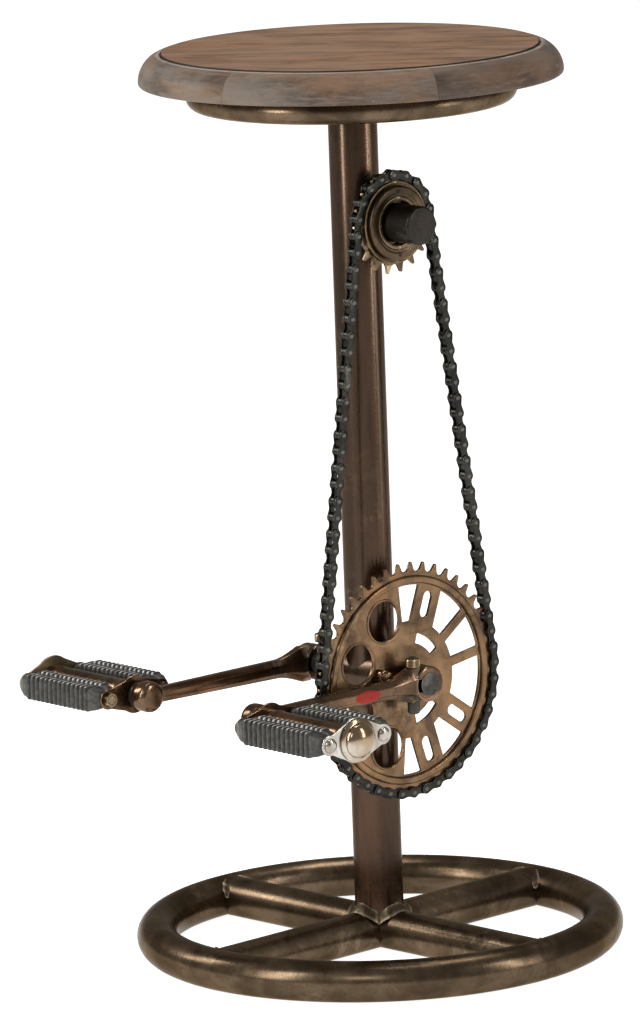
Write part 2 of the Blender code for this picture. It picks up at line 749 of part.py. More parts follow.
def build_chainring(axis):
    outlines = [toothed_outline(CHAINRING_TEETH, -math.pi / 2)]
    outlines += chainring_windows()
    outlines.append(circle((0, 0), CRANK_SPIGOT_RADIUS + GAP, ROUND_SIDES))
    outlines.append(circle(DRIVE_PIN_PLACE, DRIVE_PIN_DIAMETER / 2 + GAP, SMALL_SIDES))
    plate = flat_solid("chainring", outlines, SPROCKET_THICKNESS, CHAIN_LINE, axis)
    face = CHAIN_LINE + SPROCKET_THICKNESS / 2
    foot = CHAIN_LINE
    crest = face + CHAINRING_RIM_RISE
    slope = CHAINRING_RIM_RISE / 2
    profile = [
        (CHAINRING_RIM_OUTER - slope, crest),
        (CHAINRING_RIM_OUTER, face),
        (CHAINRING_RIM_OUTER, foot),
        (CHAINRING_RIM_INNER, foot),
        (CHAINRING_RIM_INNER, face),
        (CHAINRING_RIM_INNER + slope, crest),
    ]
    rim = turned("chainring_rim", profile, RIM_STEPS, SIDEWAYS, parent=axis, ring=True)
    finish_part(join(plate, rim), COPPER_BRONZE)

    inner_face = CHAIN_LINE - SPROCKET_THICKNESS / 2
    depth = RIGHT_CRANK_OFFSET - CRANK_ARM_HEIGHT_AT_BOSS / 2 * CRANK_ARM_FLATNESS + DRIVE_PIN_DEPTH
    pin = rod(
        "drive_pin",
        DRIVE_PIN_DIAMETER / 2,
        inner_face,
        depth,
        SMALL_SIDES,
        SIDEWAYS,
        (0, *DRIVE_PIN_PLACE),
        axis,
    )
    finish_part(pin, STEEL)
    pin_space = rod(
        "drive_pin_space",
        DRIVE_PIN_DIAMETER / 2 + GAP,
        inner_face,
        depth + GAP,
        SMALL_SIDES,
        SIDEWAYS,
        (0, *DRIVE_PIN_PLACE),
        axis,
    )
    return as_cutter(pin_space)


# Freewheel


def build_freewheel(axis):
    height = (0, 0, FREEWHEEL_HEIGHT)
    stub_radius = STUB_DIAMETER / 2
    profile = [
        (0, STUB_REACH),
        (stub_radius - STUB_CHAMFER, STUB_REACH),
        (stub_radius, STUB_REACH - STUB_CHAMFER),
        (stub_radius, 0),
        (0, 0),
    ]
    stub = turned("freewheel_stub", profile, ROUND_SIDES, SIDEWAYS, height)
    post_space = rod("post_space", POST_RADIUS + GAP, 0, SEAT_HEIGHT, ROUND_SIDES)
    finish_part(cut(stub, as_cutter(post_space)), DARK_BRONZE)

    sleeve_inner = stub_radius + GAP
    sleeve_outer = sleeve_inner + SLEEVE_WALL
    sleeve = tube(
        "freewheel_sleeve",
        sleeve_outer,
        sleeve_inner,
        SLEEVE_INNER_END,
        SLEEVE_OUTER_END,
        ROUND_SIDES,
        SIDEWAYS,
        height,
    )
    finish_part(sleeve, STEEL)

    body_inner = sleeve_outer + GAP
    body_outer = body_inner + FREEWHEEL_BODY_WALL
    neck = body_inner + FREEWHEEL_NECK_WALL
    body_end = CHAIN_LINE + FREEWHEEL_SHELL_WIDTH / 2
    lock_start = body_end + GAP
    lock_end = lock_start + LOCKRING_THICKNESS
    profile = [
        (neck, lock_end - GAP),
        (neck, body_end),
        (body_outer, body_end),
        (body_outer, body_end - FREEWHEEL_BODY_WIDTH),
        (body_inner, body_end - FREEWHEEL_BODY_WIDTH),
        (body_inner, lock_end - GAP),
    ]
    body = turned("freewheel_body", profile, ROUND_SIDES, SIDEWAYS, height, ring=True)
    finish_part(body, BRASS)

    lock_inner = running_bore(neck, 2 * SMALL_SIDES)
    lock_outer = LOCKRING_DIAMETER / 2
    edge = LOCKRING_EDGE
    profile = [
        (lock_outer - edge, lock_end),
        (lock_outer, lock_end - edge),
        (lock_outer, lock_start),
        (lock_inner, lock_start),
        (lock_inner, lock_end),
    ]
    lockring = turned("freewheel_lockring", profile, 2 * SMALL_SIDES, SIDEWAYS, height, ring=True)
    for side in (-1, 1):
        pin_hole = rod(
            "lockring_pin_space",
            LOCKRING_PIN_HOLE / 2,
            lock_start - LOCKRING_THICKNESS,
            lock_end + LOCKRING_THICKNESS,
            HEX_SIDES,
            SIDEWAYS,
            (0, 0, FREEWHEEL_HEIGHT + side * LOCKRING_PIN_CIRCLE),
        )
        cut(lockring, as_cutter(pin_hole))
    finish_part(lockring, BRASS)

    shell_inner = running_bore(body_outer, ROUND_SIDES)
    shell_outer = shell_inner + FREEWHEEL_SHELL_WALL
    half = FREEWHEEL_SHELL_WIDTH / 2
    teeth = toothed_outline(FREEWHEEL_TEETH, math.pi / 2)
    bore = circle((0, 0), (shell_inner + shell_outer) / 2, ROUND_SIDES)
    sprocket = flat_solid("freewheel_sprocket", [teeth, bore], SPROCKET_THICKNESS, CHAIN_LINE, axis)
    shell = tube(
        "freewheel_shell",
        shell_outer,
        shell_inner,
        CHAIN_LINE - half,
        CHAIN_LINE + half,
        ROUND_SIDES,
        SIDEWAYS,
        parent=axis,
    )
    finish_part(join(sprocket, shell), BRASS)


# Bottom bracket


BB_CUP_OUTER = BB_SHELL_RADIUS - BB_SHELL_WALL - GAP
BB_CUP_INNER = BB_CUP_OUTER - BB_CUP_WALL
BB_BALL_CIRCLE = BB_CUP_INNER - GAP - BB_BALL / 2
BB_BALL_MIDDLE = BB_SHELL_WIDTH / 2 - BB_CUP_DEPTH / 2
AXLE_CONE_RADIUS = (BB_BALL_CIRCLE - BB_BALL / 2) * math.cos(math.pi / ROUND_SIDES) - GAP


def build_bottom_bracket():
    half = BB_SHELL_WIDTH / 2
    flange_start = half + GAP
    flange_end = BB_CUP_FACE
    flange = BB_SHELL_RADIUS - BB_CUP_FLANGE_LIP
    bore = running_bore(AXLE_RADIUS, ROUND_SIDES)
    wall_start = half - BB_CUP_WALL
    cup = [
        (flange, flange_end),
        (flange, flange_start),
        (BB_CUP_OUTER, flange_start),
        (BB_CUP_OUTER, half - BB_CUP_DEPTH),
        (BB_CUP_INNER, half - BB_CUP_DEPTH),
        (BB_CUP_INNER, wall_start),
        (bore, wall_start),
        (bore, flange_end),
    ]
    balls = circle((BB_BALL_CIRCLE, BB_BALL_MIDDLE), BB_BALL / 2, HEX_SIDES)
    place = (0, 0, CRANK_HEIGHT)
    for side, sign in (("right", 1), ("left", -1)):
        for name, profile, finish in (("bb_cup_", cup, BLACK_STEEL), ("bb_bearing_", balls, STEEL)):
            points = [(radius, sign * across) for radius, across in profile]
            top_down = points if (name == "bb_cup_") == (sign > 0) else points[::-1]
            piece = turned(name + side, top_down, ROUND_SIDES, SIDEWAYS, place, ring=True)
            finish_part(piece, finish)


# Cranks


def crank_plane(sign):
    return RIGHT_CRANK_OFFSET if sign > 0 else -LEFT_CRANK_OFFSET


def arm_stations():
    """Distance, height and width along the arm: a hollow shoulder at the boss, then a taper."""
    boss_height = 2 * CRANK_BOSS_RADIUS
    arm_height = CRANK_ARM_HEIGHT_AT_BOSS
    arm_width = arm_height * CRANK_ARM_FLATNESS
    stations = [(0, boss_height, CRANK_BOSS_WIDTH)]
    for step in range(SHOULDER_STEPS + 1):
        along = step / SHOULDER_STEPS
        swell = (1 - along) ** (1 + CRANK_SHOULDER_HOLLOW)
        height = arm_height + swell * (boss_height - arm_height)
        width = arm_width + swell * (CRANK_BOSS_WIDTH - arm_width)
        stations.append((CRANK_BOSS_RADIUS + along * CRANK_SHOULDER_LENGTH, height, width))
    end = CRANK_ARM_HEIGHT_AT_EYE
    return stations + [(CRANK_LENGTH, end, end * CRANK_ARM_FLATNESS)]


def crank_arm(name, plane, axis):
    """An eight-sided bar with flat top and faces, from the axle to the pedal eye."""
    mesh = bpy.data.meshes.new(name)
    shape = bmesh.new()
    rings = []
    for reach, height, width in arm_stations():
        ring = []
        for side in range(ARM_SIDES):
            angle = (side + 0.5) * 2 * math.pi / ARM_SIDES
            across = flat_radius(width / 2, ARM_SIDES) * math.cos(angle)
            up = flat_radius(height / 2, ARM_SIDES) * math.sin(angle)
            ring.append(shape.verts.new((across, -reach, up)))
        rings.append(ring)
    for first, second in zip(rings, rings[1:]):
        for side in range(ARM_SIDES):
            near = side - 1
            shape.faces.new((first[near], first[side], second[side], second[near]))
    shape.faces.new(rings[0])
    shape.faces.new(rings[-1])
    bmesh.ops.recalc_face_normals(shape, faces=shape.faces)
    shape.to_mesh(mesh)
    shape.free()
    return put(bpy.data.objects.new(name, mesh), (plane, 0, 0), UPRIGHT, axis)


def edged_disc(name, radius, width, edge, place, axis):
    """A disc about a place along the axle, with its edges broken."""
    plane, forward, up = place
    high = plane + width / 2
    low = plane - width / 2
    profile = [(0, high), (radius - edge, high), (radius, high - edge)]
    profile += [(radius, low + edge), (radius - edge, low), (0, low)]
    return turned(name, profile, 2 * SMALL_SIDES, SIDEWAYS, (0, forward, up), axis)


def cotter_side(sign):
    """The right cotter lies before the axle, and the left one behind it."""
    return -sign * COTTER_OFFSET


def build_crank(side, sign, axis, pin_space):
    plane = crank_plane(sign)
    eye_at = (0, -CRANK_LENGTH, 0)
    boss_at = (plane, 0, 0)
    boss = edged_disc(
        side + "_crank", CRANK_BOSS_RADIUS, CRANK_BOSS_WIDTH, CRANK_BOSS_EDGE, boss_at, axis
    )
    eye = edged_disc(
        side + "_eye",
        CRANK_EYE_RADIUS,
        CRANK_EYE_WIDTH,
        CRANK_EYE_EDGE,
        (plane, -CRANK_LENGTH, 0),
        axis,
    )
    crank = join(boss, crank_arm(side + "_arm", plane, axis), eye)
    if sign > 0:
        spigot = rod(
            "crank_spigot",
            CRANK_SPIGOT_RADIUS,
            CHAIN_LINE - SPROCKET_THICKNESS / 2,
            plane,
            ROUND_SIDES,
            SIDEWAYS,
            parent=axis,
        )
        join(crank, spigot)
        cut(crank, pin_space)
    reach = CRANK_BOSS_WIDTH / 2 + CHAIN_LINE
    axle_space = rod(
        side + "_axle_space",
        AXLE_RADIUS + GAP,
        plane - reach,
        plane + reach,
        ROUND_SIDES,
        SIDEWAYS,
        parent=axis,
    )
    thread_space = rod(
        side + "_thread_space",
        PEDAL_THREAD_DIAMETER / 2 + GAP,
        plane - CRANK_EYE_WIDTH,
        plane + CRANK_EYE_WIDTH,
        ROUND_SIDES,
        SIDEWAYS,
        eye_at,
        axis,
    )
    cotter_space = rod(
        side + "_cotter_space",
        COTTER_DIAMETER / 2 + GAP,
        -2 * CRANK_BOSS_RADIUS,
        2 * CRANK_BOSS_RADIUS,
        SMALL_SIDES,
        location=(plane, cotter_side(sign), 0),
        parent=axis,
    )
    cut(crank, as_cutter(cotter_space), as_cutter(axle_space), as_cutter(thread_space))
    finish_part(crank, COPPER_BRONZE)


def build_cotter(side, sign, axis):
    """A cotter pin with a flat against the axle, and its nut on top of the boss."""
    plane = crank_plane(sign)
    place = (plane, cotter_side(sign), 0)
    radius = COTTER_DIAMETER / 2
    thread = COTTER_THREAD / 2
    seat = CRANK_BOSS_RADIUS + GAP
    nut_top = seat + COTTER_NUT_HEIGHT
    top = nut_top + COTTER_THREAD_STAND_OUT
    tail = -CRANK_BOSS_RADIUS - COTTER_TAIL
    profile = [(0, top), (thread, top), (thread, CRANK_BOSS_RADIUS - GAP)]
    profile += [(radius, CRANK_BOSS_RADIUS - 2 * thread), (radius, tail), (0, tail)]
    cotter = turned(side + "_cotter", profile, SMALL_SIDES, location=place, parent=axis)
    flat_depth = COTTER_DIAMETER
    flat_middle = math.copysign(COTTER_FLAT + GAP - flat_depth / 2, place[1])
    flat_size = (2 * COTTER_DIAMETER, flat_depth, 2 * AXLE_DIAMETER)
    flat = box(side + "_cotter_flat", flat_size, (plane, flat_middle, 0), axis)
    finish_part(cut(cotter, as_cutter(flat)), BLACK_STEEL)
    nut = tube(
        side + "_cotter_nut",
        flat_radius(COTTER_NUT_FLATS / 2, HEX_SIDES),
        flat_radius(thread + GAP, HEX_SIDES),
        seat,
        nut_top,
        HEX_SIDES,
        location=place,
        parent=axis,
    )
    finish_part(nut, BRASS)


def build_axle(axis):
    """The axle, with raised cones at the balls and a flat for each cotter."""
    right_end = RIGHT_CRANK_OFFSET + CRANK_BOSS_WIDTH / 2 + AXLE_STAND_OUT
    left_end = -LEFT_CRANK_OFFSET - CRANK_BOSS_WIDTH / 2 - AXLE_STAND_OUT
    waist = AXLE_WAIST_DIAMETER / 2
    cone_out = BB_BALL_MIDDLE + BB_BALL / 2
    cone_in = BB_BALL_MIDDLE - BB_BALL
    profile = [(0, right_end), (AXLE_RADIUS, right_end), (AXLE_RADIUS, cone_out)]
    profile += [(AXLE_CONE_RADIUS, cone_out), (AXLE_CONE_RADIUS, cone_in), (waist, cone_in - BB_BALL)]
    profile += [(waist, -cone_in + BB_BALL), (AXLE_CONE_RADIUS, -cone_in), (AXLE_CONE_RADIUS, -cone_out)]
    profile += [(AXLE_RADIUS, -cone_out), (AXLE_RADIUS, left_end), (0, left_end)]
    axle = turned("crank_axle", profile, ROUND_SIDES, SIDEWAYS, parent=axis)
    for side, sign in (("right", 1), ("left", -1)):
        depth = AXLE_DIAMETER
        middle = math.copysign(COTTER_FLAT + depth / 2, cotter_side(sign))
        size = (COTTER_DIAMETER + 2 * GAP, depth, 2 * AXLE_DIAMETER)
        cut(axle, as_cutter(box(side + "_axle_flat", size, (crank_plane(sign), middle, 0), axis)))
    finish_part(axle, STEEL)


# Pedals


PEDAL_CONE_START = CRANK_EYE_WIDTH / 2 + GAP
PEDAL_NUT_START = PEDAL_CONE_START + PEDAL_CONE_LENGTH - PEDAL_NUT_HEIGHT
PEDAL_PLATE_START = PEDAL_CONE_START + PEDAL_CONE_LENGTH + GAP
PEDAL_BLOCK_START = PEDAL_PLATE_START + PEDAL_PLATE_THICKNESS + GAP
PEDAL_BLOCK_END = PEDAL_BLOCK_START + PEDAL_BLOCK_LENGTH
PEDAL_OUTER_PLATE_START = PEDAL_BLOCK_END + GAP
PEDAL_OUTER_FACE = PEDAL_OUTER_PLATE_START + PEDAL_PLATE_THICKNESS


def pedal_turned(name, profile, steps, sign, place, parent, ring=False):
    """Turn a profile of (radius, distance outward) points, listed from the outer end inward."""
    plane = crank_plane(sign)
    points = [(radius, plane + sign * outward) for radius, outward in profile]
    if sign < 0:
        points.reverse()
    return turned(name, points, steps, SIDEWAYS, place, parent, ring)


def plate_shape(disc):
    """Bow-tie outline of a pedal's end plate: a disc with a lobe at each side."""
    spread = PEDAL_BOLT_SPREAD
    quarter = math.pi / 2
    shoulder = PEDAL_PLATE_SHOULDER
    shape = arc((spread, 0), PEDAL_PLATE_LOBE, -quarter, quarter, 5)
    shape += arc((0, 0), disc, shoulder, math.pi - shoulder, 4)
    shape += arc((-spread, 0), PEDAL_PLATE_LOBE, quarter, 3 * quarter, 5)
    shape += arc((0, 0), disc, math.pi + shoulder, 2 * math.pi - shoulder, 4)
    return shape


def rubber_block(name, sign, place, parent):
    """A ribbed rubber block with smooth tapered ends, along the spindle."""
    width = PEDAL_BLOCK_WIDTH / 2
    height = PEDAL_BLOCK_HEIGHT / 2
    corners = [(width, height), (-width, height), (-width, -height), (width, -height)]
    section = bpy.data.objects.new(name + "_section", closed_curve(name + "_section", [corners]))
    as_cutter(section)

    low = PEDAL_BLOCK_START
    high = PEDAL_BLOCK_END
    stations = [(low, PEDAL_BLOCK_TIP), (low + PEDAL_BLOCK_TAPER, 1.0)]
    ribbed = PEDAL_BLOCK_LENGTH - 2 * PEDAL_BLOCK_TAPER
    pitch = ribbed / PEDAL_BLOCK_RIBS
    for rib in range(PEDAL_BLOCK_RIBS - 1):
        groove = low + PEDAL_BLOCK_TAPER + (rib + 1) * pitch
        stations.append((groove - pitch / 4, 1.0))
        stations.append((groove, 1.0 - PEDAL_RIB_DEPTH))
    stations += [(high - PEDAL_BLOCK_TAPER, 1.0), (high, PEDAL_BLOCK_TIP)]

    curve = bpy.data.curves.new(name, "CURVE")
    curve.dimensions = "3D"
    curve.twist_mode = "Z_UP"
    curve.bevel_mode = "OBJECT"
    curve.bevel_object = section
    curve.use_fill_caps = True
    spline = curve.splines.new("POLY")
    spline.points.add(len(stations) - 1)
    for point, (outward, swell) in zip(spline.points, stations):
        point.co = (crank_plane(sign) + sign * outward, 0, 0, 1)
        point.radius = swell
    block = as_mesh(put(bpy.data.objects.new(name, curve), place, UPRIGHT, parent))
    bpy.data.objects.remove(section, do_unlink=True)
    return block


def build_spindle(side, sign, axis):
    thread = PEDAL_THREAD_DIAMETER / 2
    shaft = PEDAL_SPINDLE_DIAMETER / 2
    cone = PEDAL_CONE_DIAMETER / 2
    cone_end = PEDAL_CONE_START + PEDAL_CONE_LENGTH
    tip = PEDAL_BLOCK_END - 2 * PEDAL_CAP_WALL
    inner_end = -CRANK_EYE_WIDTH / 2
    profile = [(0, tip), (shaft, tip), (shaft, cone_end), (thread, cone_end)]
    profile += [(cone, PEDAL_CONE_START + PEDAL_CONE_LENGTH / 2), (cone, PEDAL_CONE_START)]
    profile += [(thread, PEDAL_CONE_START), (thread, inner_end), (0, inner_end)]
    place = (0, -CRANK_LENGTH, 0)
    spindle = pedal_turned(side + "_pedal_spindle", profile, ROUND_SIDES, sign, place, axis)
    finish_part(spindle, BLACK_STEEL)


def build_pedal(side, sign, axis, plate_finish):
    name = side + "_pedal_"
    centre = (0, 0, 0)
    bore = running_bore(PEDAL_SPINDLE_DIAMETER / 2, SMALL_SIDES)
    outer = PEDAL_BARREL_DIAMETER / 2
    hollow = outer - PEDAL_BARREL_WALL
    low = PEDAL_BLOCK_START
    high = PEDAL_BLOCK_END
    cup = PEDAL_BARREL_CUP_DEPTH
    profile = [(outer, high), (outer, low), (bore, low), (bore, low + cup), (hollow, low + cup)]
    profile += [(hollow, high - cup), (bore, high - cup), (bore, high)]
    barrel = pedal_turned(name + "barrel", profile, SMALL_SIDES, sign, centre, axis, ring=True)
    finish_part(barrel, COPPER_BRONZE)

    bolt_hole = PEDAL_BOLT_DIAMETER / 2 + GAP
    holes = [circle((y, 0), bolt_hole, HEX_SIDES) for y in (-PEDAL_BOLT_SPREAD, PEDAL_BOLT_SPREAD)]
    holes.append(circle((0, 0), bore, SMALL_SIDES))
    for plate, start, disc, finish in (
        ("inner_plate", PEDAL_PLATE_START, PEDAL_INNER_PLATE_DISC, COPPER_BRONZE),
        ("outer_plate", PEDAL_OUTER_PLATE_START, PEDAL_OUTER_PLATE_DISC, plate_finish),
    ):
        middle = crank_plane(sign) + sign * (start + PEDAL_PLATE_THICKNESS / 2)
        outlines = [plate_shape(disc)] + holes
        piece = flat_solid(name + plate, outlines, PEDAL_PLATE_THICKNESS, middle, axis)
        finish_part(piece, finish)

    seat = PEDAL_OUTER_FACE + GAP
    wall = PEDAL_CAP_WALL
    flange = seat + wall
    dome = []
    for step in range(DOME_STEPS + 1):
        turn = math.pi / 2 * step / DOME_STEPS
        outward = flange + (PEDAL_CAP_HEIGHT - wall) * math.cos(turn)
        dome.append((PEDAL_DOME_RADIUS * math.sin(turn), outward))
    hollow_dome = [(max(0.0, radius - wall), outward - wall) for radius, outward in reversed(dome)]
    profile = dome + [(PEDAL_CAP_RADIUS, flange), (PEDAL_CAP_RADIUS, seat)] + hollow_dome
    cap = pedal_turned(name + "dust_cap", profile, ROUND_SIDES, sign, centre, axis)
    finish_part(cap, plate_finish)

    shank = PEDAL_BOLT_DIAMETER / 2
    head = PEDAL_BOLT_HEAD / 2
    head_end = seat + PEDAL_BOLT_HEAD_HEIGHT
    shank_end = PEDAL_NUT_START - GAP
    bolt = [(0, head_end), (head * PEDAL_BOLT_HEAD_TAPER, head_end), (head, seat), (shank, seat)]
    bolt += [(shank, shank_end), (0, shank_end)]
    nut_outer = flat_radius(PEDAL_NUT_FLATS / 2, HEX_SIDES)
    nut_end = PEDAL_NUT_START + PEDAL_NUT_HEIGHT
    nut = [(nut_outer, nut_end), (nut_outer, PEDAL_NUT_START)]
    nut += [(bolt_hole, PEDAL_NUT_START), (bolt_hole, nut_end)]
    for end, y in (("front", -PEDAL_BOLT_SPREAD), ("rear", PEDAL_BOLT_SPREAD)):
        place = (0, y, 0)
        finish_part(pedal_turned(name + end + "_bolt", bolt, HEX_SIDES, sign, place, axis), STEEL)
        nut_piece = pedal_turned(name + end + "_nut", nut, HEX_SIDES, sign, place, axis, ring=True)
        finish_part(nut_piece, STEEL)
        block = rubber_block(name + end + "_rubber", sign, place, axis)
        profile = [(0, PEDAL_OUTER_FACE), (bolt_hole, PEDAL_OUTER_FACE)]
        profile += [(bolt_hole, PEDAL_NUT_START), (0, PEDAL_NUT_START)]
        space = pedal_turned(name + end + "_bolt_space", profile, HEX_SIDES, sign, place, axis)
        finish_part(cut(block, as_cutter(space)), RUBBER)


def main():
    build_post(build_base())
    build_seat()
    build_chain()

    crank_axis = add_axis("crank_axis", (0, 0, CRANK_HEIGHT))
    freewheel_axis = add_axis("freewheel_axis", (0, 0, FREEWHEEL_HEIGHT))
    build_freewheel(freewheel_axis)
    build_bottom_bracket()
    build_axle(crank_axis)
    pin_space = build_chainring(crank_axis)
    for side, sign, plate_finish in (("right", 1, CHROME), ("left", -1, BRASS)):
        build_crank(side, sign, crank_axis, pin_space)
        build_cotter(side, sign, crank_axis)
        build_spindle(side, sign, crank_axis)
        pedal_axis = add_axis(side + "_pedal_axis", (0, -CRANK_LENGTH, 0), crank_axis)
        build_pedal(side, sign, pedal_axis, plate_finish)


main()
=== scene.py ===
"""Looks for the bar stool: finer pieces and worn metal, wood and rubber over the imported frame."""

import json
from math import asin, atan2, cos, hypot, pi, radians, sin, sqrt, tan

import bmesh
import bpy
from mathutils import Matrix, Vector, noise


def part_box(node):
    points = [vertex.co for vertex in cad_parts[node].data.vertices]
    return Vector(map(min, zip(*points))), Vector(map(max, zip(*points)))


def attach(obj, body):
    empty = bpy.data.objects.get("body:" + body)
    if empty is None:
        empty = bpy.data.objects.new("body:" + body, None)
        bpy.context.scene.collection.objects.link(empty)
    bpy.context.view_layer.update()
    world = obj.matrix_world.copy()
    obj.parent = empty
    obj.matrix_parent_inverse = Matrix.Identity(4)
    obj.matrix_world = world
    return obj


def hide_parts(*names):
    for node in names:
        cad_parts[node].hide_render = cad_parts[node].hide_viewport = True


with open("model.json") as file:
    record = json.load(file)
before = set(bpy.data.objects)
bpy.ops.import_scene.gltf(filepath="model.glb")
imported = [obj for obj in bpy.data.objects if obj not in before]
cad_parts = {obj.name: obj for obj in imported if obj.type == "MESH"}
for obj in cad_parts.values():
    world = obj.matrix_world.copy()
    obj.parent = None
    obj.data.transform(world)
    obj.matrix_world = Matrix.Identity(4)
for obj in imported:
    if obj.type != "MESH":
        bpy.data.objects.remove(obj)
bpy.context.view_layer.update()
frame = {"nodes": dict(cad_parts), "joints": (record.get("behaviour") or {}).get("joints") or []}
NODES = frame["nodes"]
JOINT_AT = {joint["name"]: joint["pos_m"] for joint in frame["joints"]}

# Sizes in metres that the frame's boxes don't give, and shares of them. A profile is rows of two such
# values: radius or place along, then height or depth.
GROUND = (0, 0, 0)
FINE_EDGE = 0.0003
THIN_EDGE = 0.0004
SOFT_EDGE = 0.0005
BROAD_EDGE = 0.001
CORNER_SHARE = 0.45
SLOPED = (0.15, 0.95)
MERGED = 1e-7
RING_STEPS = 160

TUBE_STEPS = 32
BASE_TURN = radians(2.5)
BASE_TWIST = Matrix.Rotation(BASE_TURN, 4, "Z")
CAD_TUBE_SIDES = 10
RING_WELD = 0.005
RING_WELD_SPAN = (radians(8), radians(66))
POST_WELD = 0.0066
WELD_BURIED = 0.0008
WELD_LUMP = 0.007
WELD_RIPPLE = 0.003
WELD_UNEVEN = (0.25, 0.04)
WELD_BELLY = (0.44, 0.12)
WELD_SHOULDER = (0.72, 0.16)
POST_BORE = 0.9
BRACKET_BORE = 0.87

SEAT_RIM_DROP = 0.0215
SEAT_RIM_FULLNESS = 1.84
SEAT_LOWER_ROUND = 0.0025
SEAT_GROOVE = 0.0016
SEAT_EDGE = 0.0011
SEAT_PROUD = 0.0009
SEAT_GAP = 0.8
SEAT_CREST_HIGHLIGHT = (0.1, 2.7)

CHAIN_PITCH = 0.0127
CHAINRING_TEETH = 44
FREEWHEEL_TEETH = 18
CHAIN_LINKS = 88
ROLLER_RADIUS = 0.00385
LINK_HEIGHT = 0.0083
LINK_WAIST = 0.0054
LINK_THICKNESS = 0.0011
LINK_EDGE = 0.27
LINK_WRAP = radians(112)
INNER_LINK_X = 0.0022
OUTER_LINK_X = 0.0036
PIN_RADIUS = 0.0019
PIN_HEAD = 0.0005
PIN_CROWN = 0.75
TOOTH_ADDENDUM = 0.0034
TOOTH_TIP = ((0.42, 0.0005), (0.5, 0.0), (0.58, 0.0005))
TOOTH_SEAT = (radians(238), radians(122))
ROLLER_PLAY = 0.0002
SPROCKET_THICKNESS = 0.0026

RIM_PROFILE = (
    (0.082, -0.001), (0.0817, 0.0015), (0.0806, 0.0025),
    (0.0767, 0.0025), (0.0758, 0.0015), (0.0755, -0.001),
)
WINDOW_OUTER = 0.0744
WINDOW_INNER = 0.046
WINDOW_CORNER = 0.0022
WEB_EDGES = (radians(-96), radians(95.5))
# Angle in degrees, width, and whether a slot is cut in it
SPOKES = (
    (-72.5, 0.0248, True), (-35, 0.021, True), (9, 0.0077, False), (36, 0.0077, False), (70, 0.0248, True),
)
SPOKE_SLOT = 0.0085
SPOKE_SLOT_LAND = 0.0038
RING_HOLE = 0.0157
RING_HOLE_CIRCLE = 0.055
RING_HOLE_ANGLES = [radians(115.5 + 43 * index) for index in range(4)]
RING_BORE = 0.0117
HOLE_LIP_WIDTH = 0.0022
HOLE_LIP = ((1.0, -0.0008), (0.8, 0.0007), (0.2, 0.0007), (0.0, -0.0008))
HUB_SLOT_ANGLES = (radians(54), radians(-59))
HUB_SLOT_CIRCLE = 0.0328
HUB_SLOT_WIDTH = 0.0078
HUB_SLOT_CORNER = 0.0035
HUB_SLOT_HALF = radians(19.5)

STUB_CHAMFER = 0.08
STUB_EDGE = 0.0006
NECK_RADIUS = 0.0203
NECK_GAP = 0.0003
SLEEVE_RADIUS = 0.0176
FREEWHEEL_BODY = 0.024
SHELL_INNER = 0.025
SHELL_OUTER = 0.0318
SHELL_LEDGE = 0.0016
SHELL_STEP = 0.0005
LOCK_PIN_CIRCLE = 0.0245
LOCK_PIN_RADIUS = 0.0017
LOCK_PIN_PROUD = 0.00005
LOCK_LAND = 0.005
LOCK_SLOPE = 0.0008
LOCK_RECESS = 0.0007
LOCK_CHAMFER = (0.0012, 0.001)

AXLE_RADIUS = 0.00925
BOSS_RADIUS = 0.014
BOSS_HALF = 0.0085
BOSS_EDGE = 0.0015
SHOULDER_LENGTH = 0.024
SHOULDER_HOLLOW = 1.45
ARM_ROOT = 0.45
ARM_AT_BOSS = 0.0145
ARM_AT_EYE = 0.012
ARM_FLATNESS = 0.85
ARM_SIDES = 8
ARM_EDGE = 0.0007
EYE_RADIUS = 0.012
EYE_HALF = 0.0075
EYE_ROUND = 0.005
COTTER_RADIUS = 0.00475
COTTER_THREAD = 0.003
COTTER_TIP = 0.8
COTTER_CHAMFER = (0.0006, 0.0012)
COTTER_NUT_FLATS = 0.0105
NUT_PROFILE = ((0.0, 0.0), (0.0, 0.92), (0.1, 1.0), (0.86, 1.0), (1.0, 0.88), (1.0, 0.0))
NUT_STEPS = 48
DRIVE_PIN_STEP = 0.46
DRIVE_PIN_TIP = 0.0034
DRIVE_PIN_EDGE = 0.0008
LABEL_MIDDLE = (-0.0614, -0.0004)
LABEL_HALF_LONG = 0.0128
LABEL_HALF_TALL = 0.0048
LABEL_PROFILE = ((0.0, 0.0004), (0.35, 0.0004), (0.7, 0.0004), (0.93, 0.0003), (1.0, 0.0))

RIBS = 14
RIB_DEPTH = 0.0025
RIB_PROFILE = ((0.07, 1.0), (0.25, 0.12), (0.36, 0.0), (0.58, 0.0), (0.75, 0.12), (0.93, 1.0))
BLOCK_TAPER = 0.0105
BLOCK_END = ((0.0, 1.9), (0.0008, 1.5), (0.0063, 0.6), (BLOCK_TAPER, 0.4))
BLOCK_CORNER = 0.003
BLOCK_DIP = 0.0018
BLOCK_DIP_SPAN = (0.36, 0.28)
SCUFF_HIGHLIGHT_SHARE = (0.2, 0.5)
SCUFF_HIGHLIGHT_FROM = 0.3
BARREL_PROFILE = ((0.0105, 0.0), (0.0105, 0.01), (0.0098, 0.014))
BARREL_BORE = 1.1
SPINDLE_RADIUS = 0.005
THREAD_RADIUS = 0.0072
CONE_PROFILE = (
    (THREAD_RADIUS, 0.0003), (0.0104, 0.0004), (0.0104, 0.0036),
    (THREAD_RADIUS, 0.0066), (SPINDLE_RADIUS, 0.007),
)
OUTER_DISC = 0.0175
INNER_DISC = 0.015
INNER_BORE = 1.4
DISC_SPAN = (radians(52), radians(128))
PLATE_CORNER = 0.004
LOBE_WRAP = radians(105)
LOBE = 0.008
BOLT_SPREAD = 0.0265
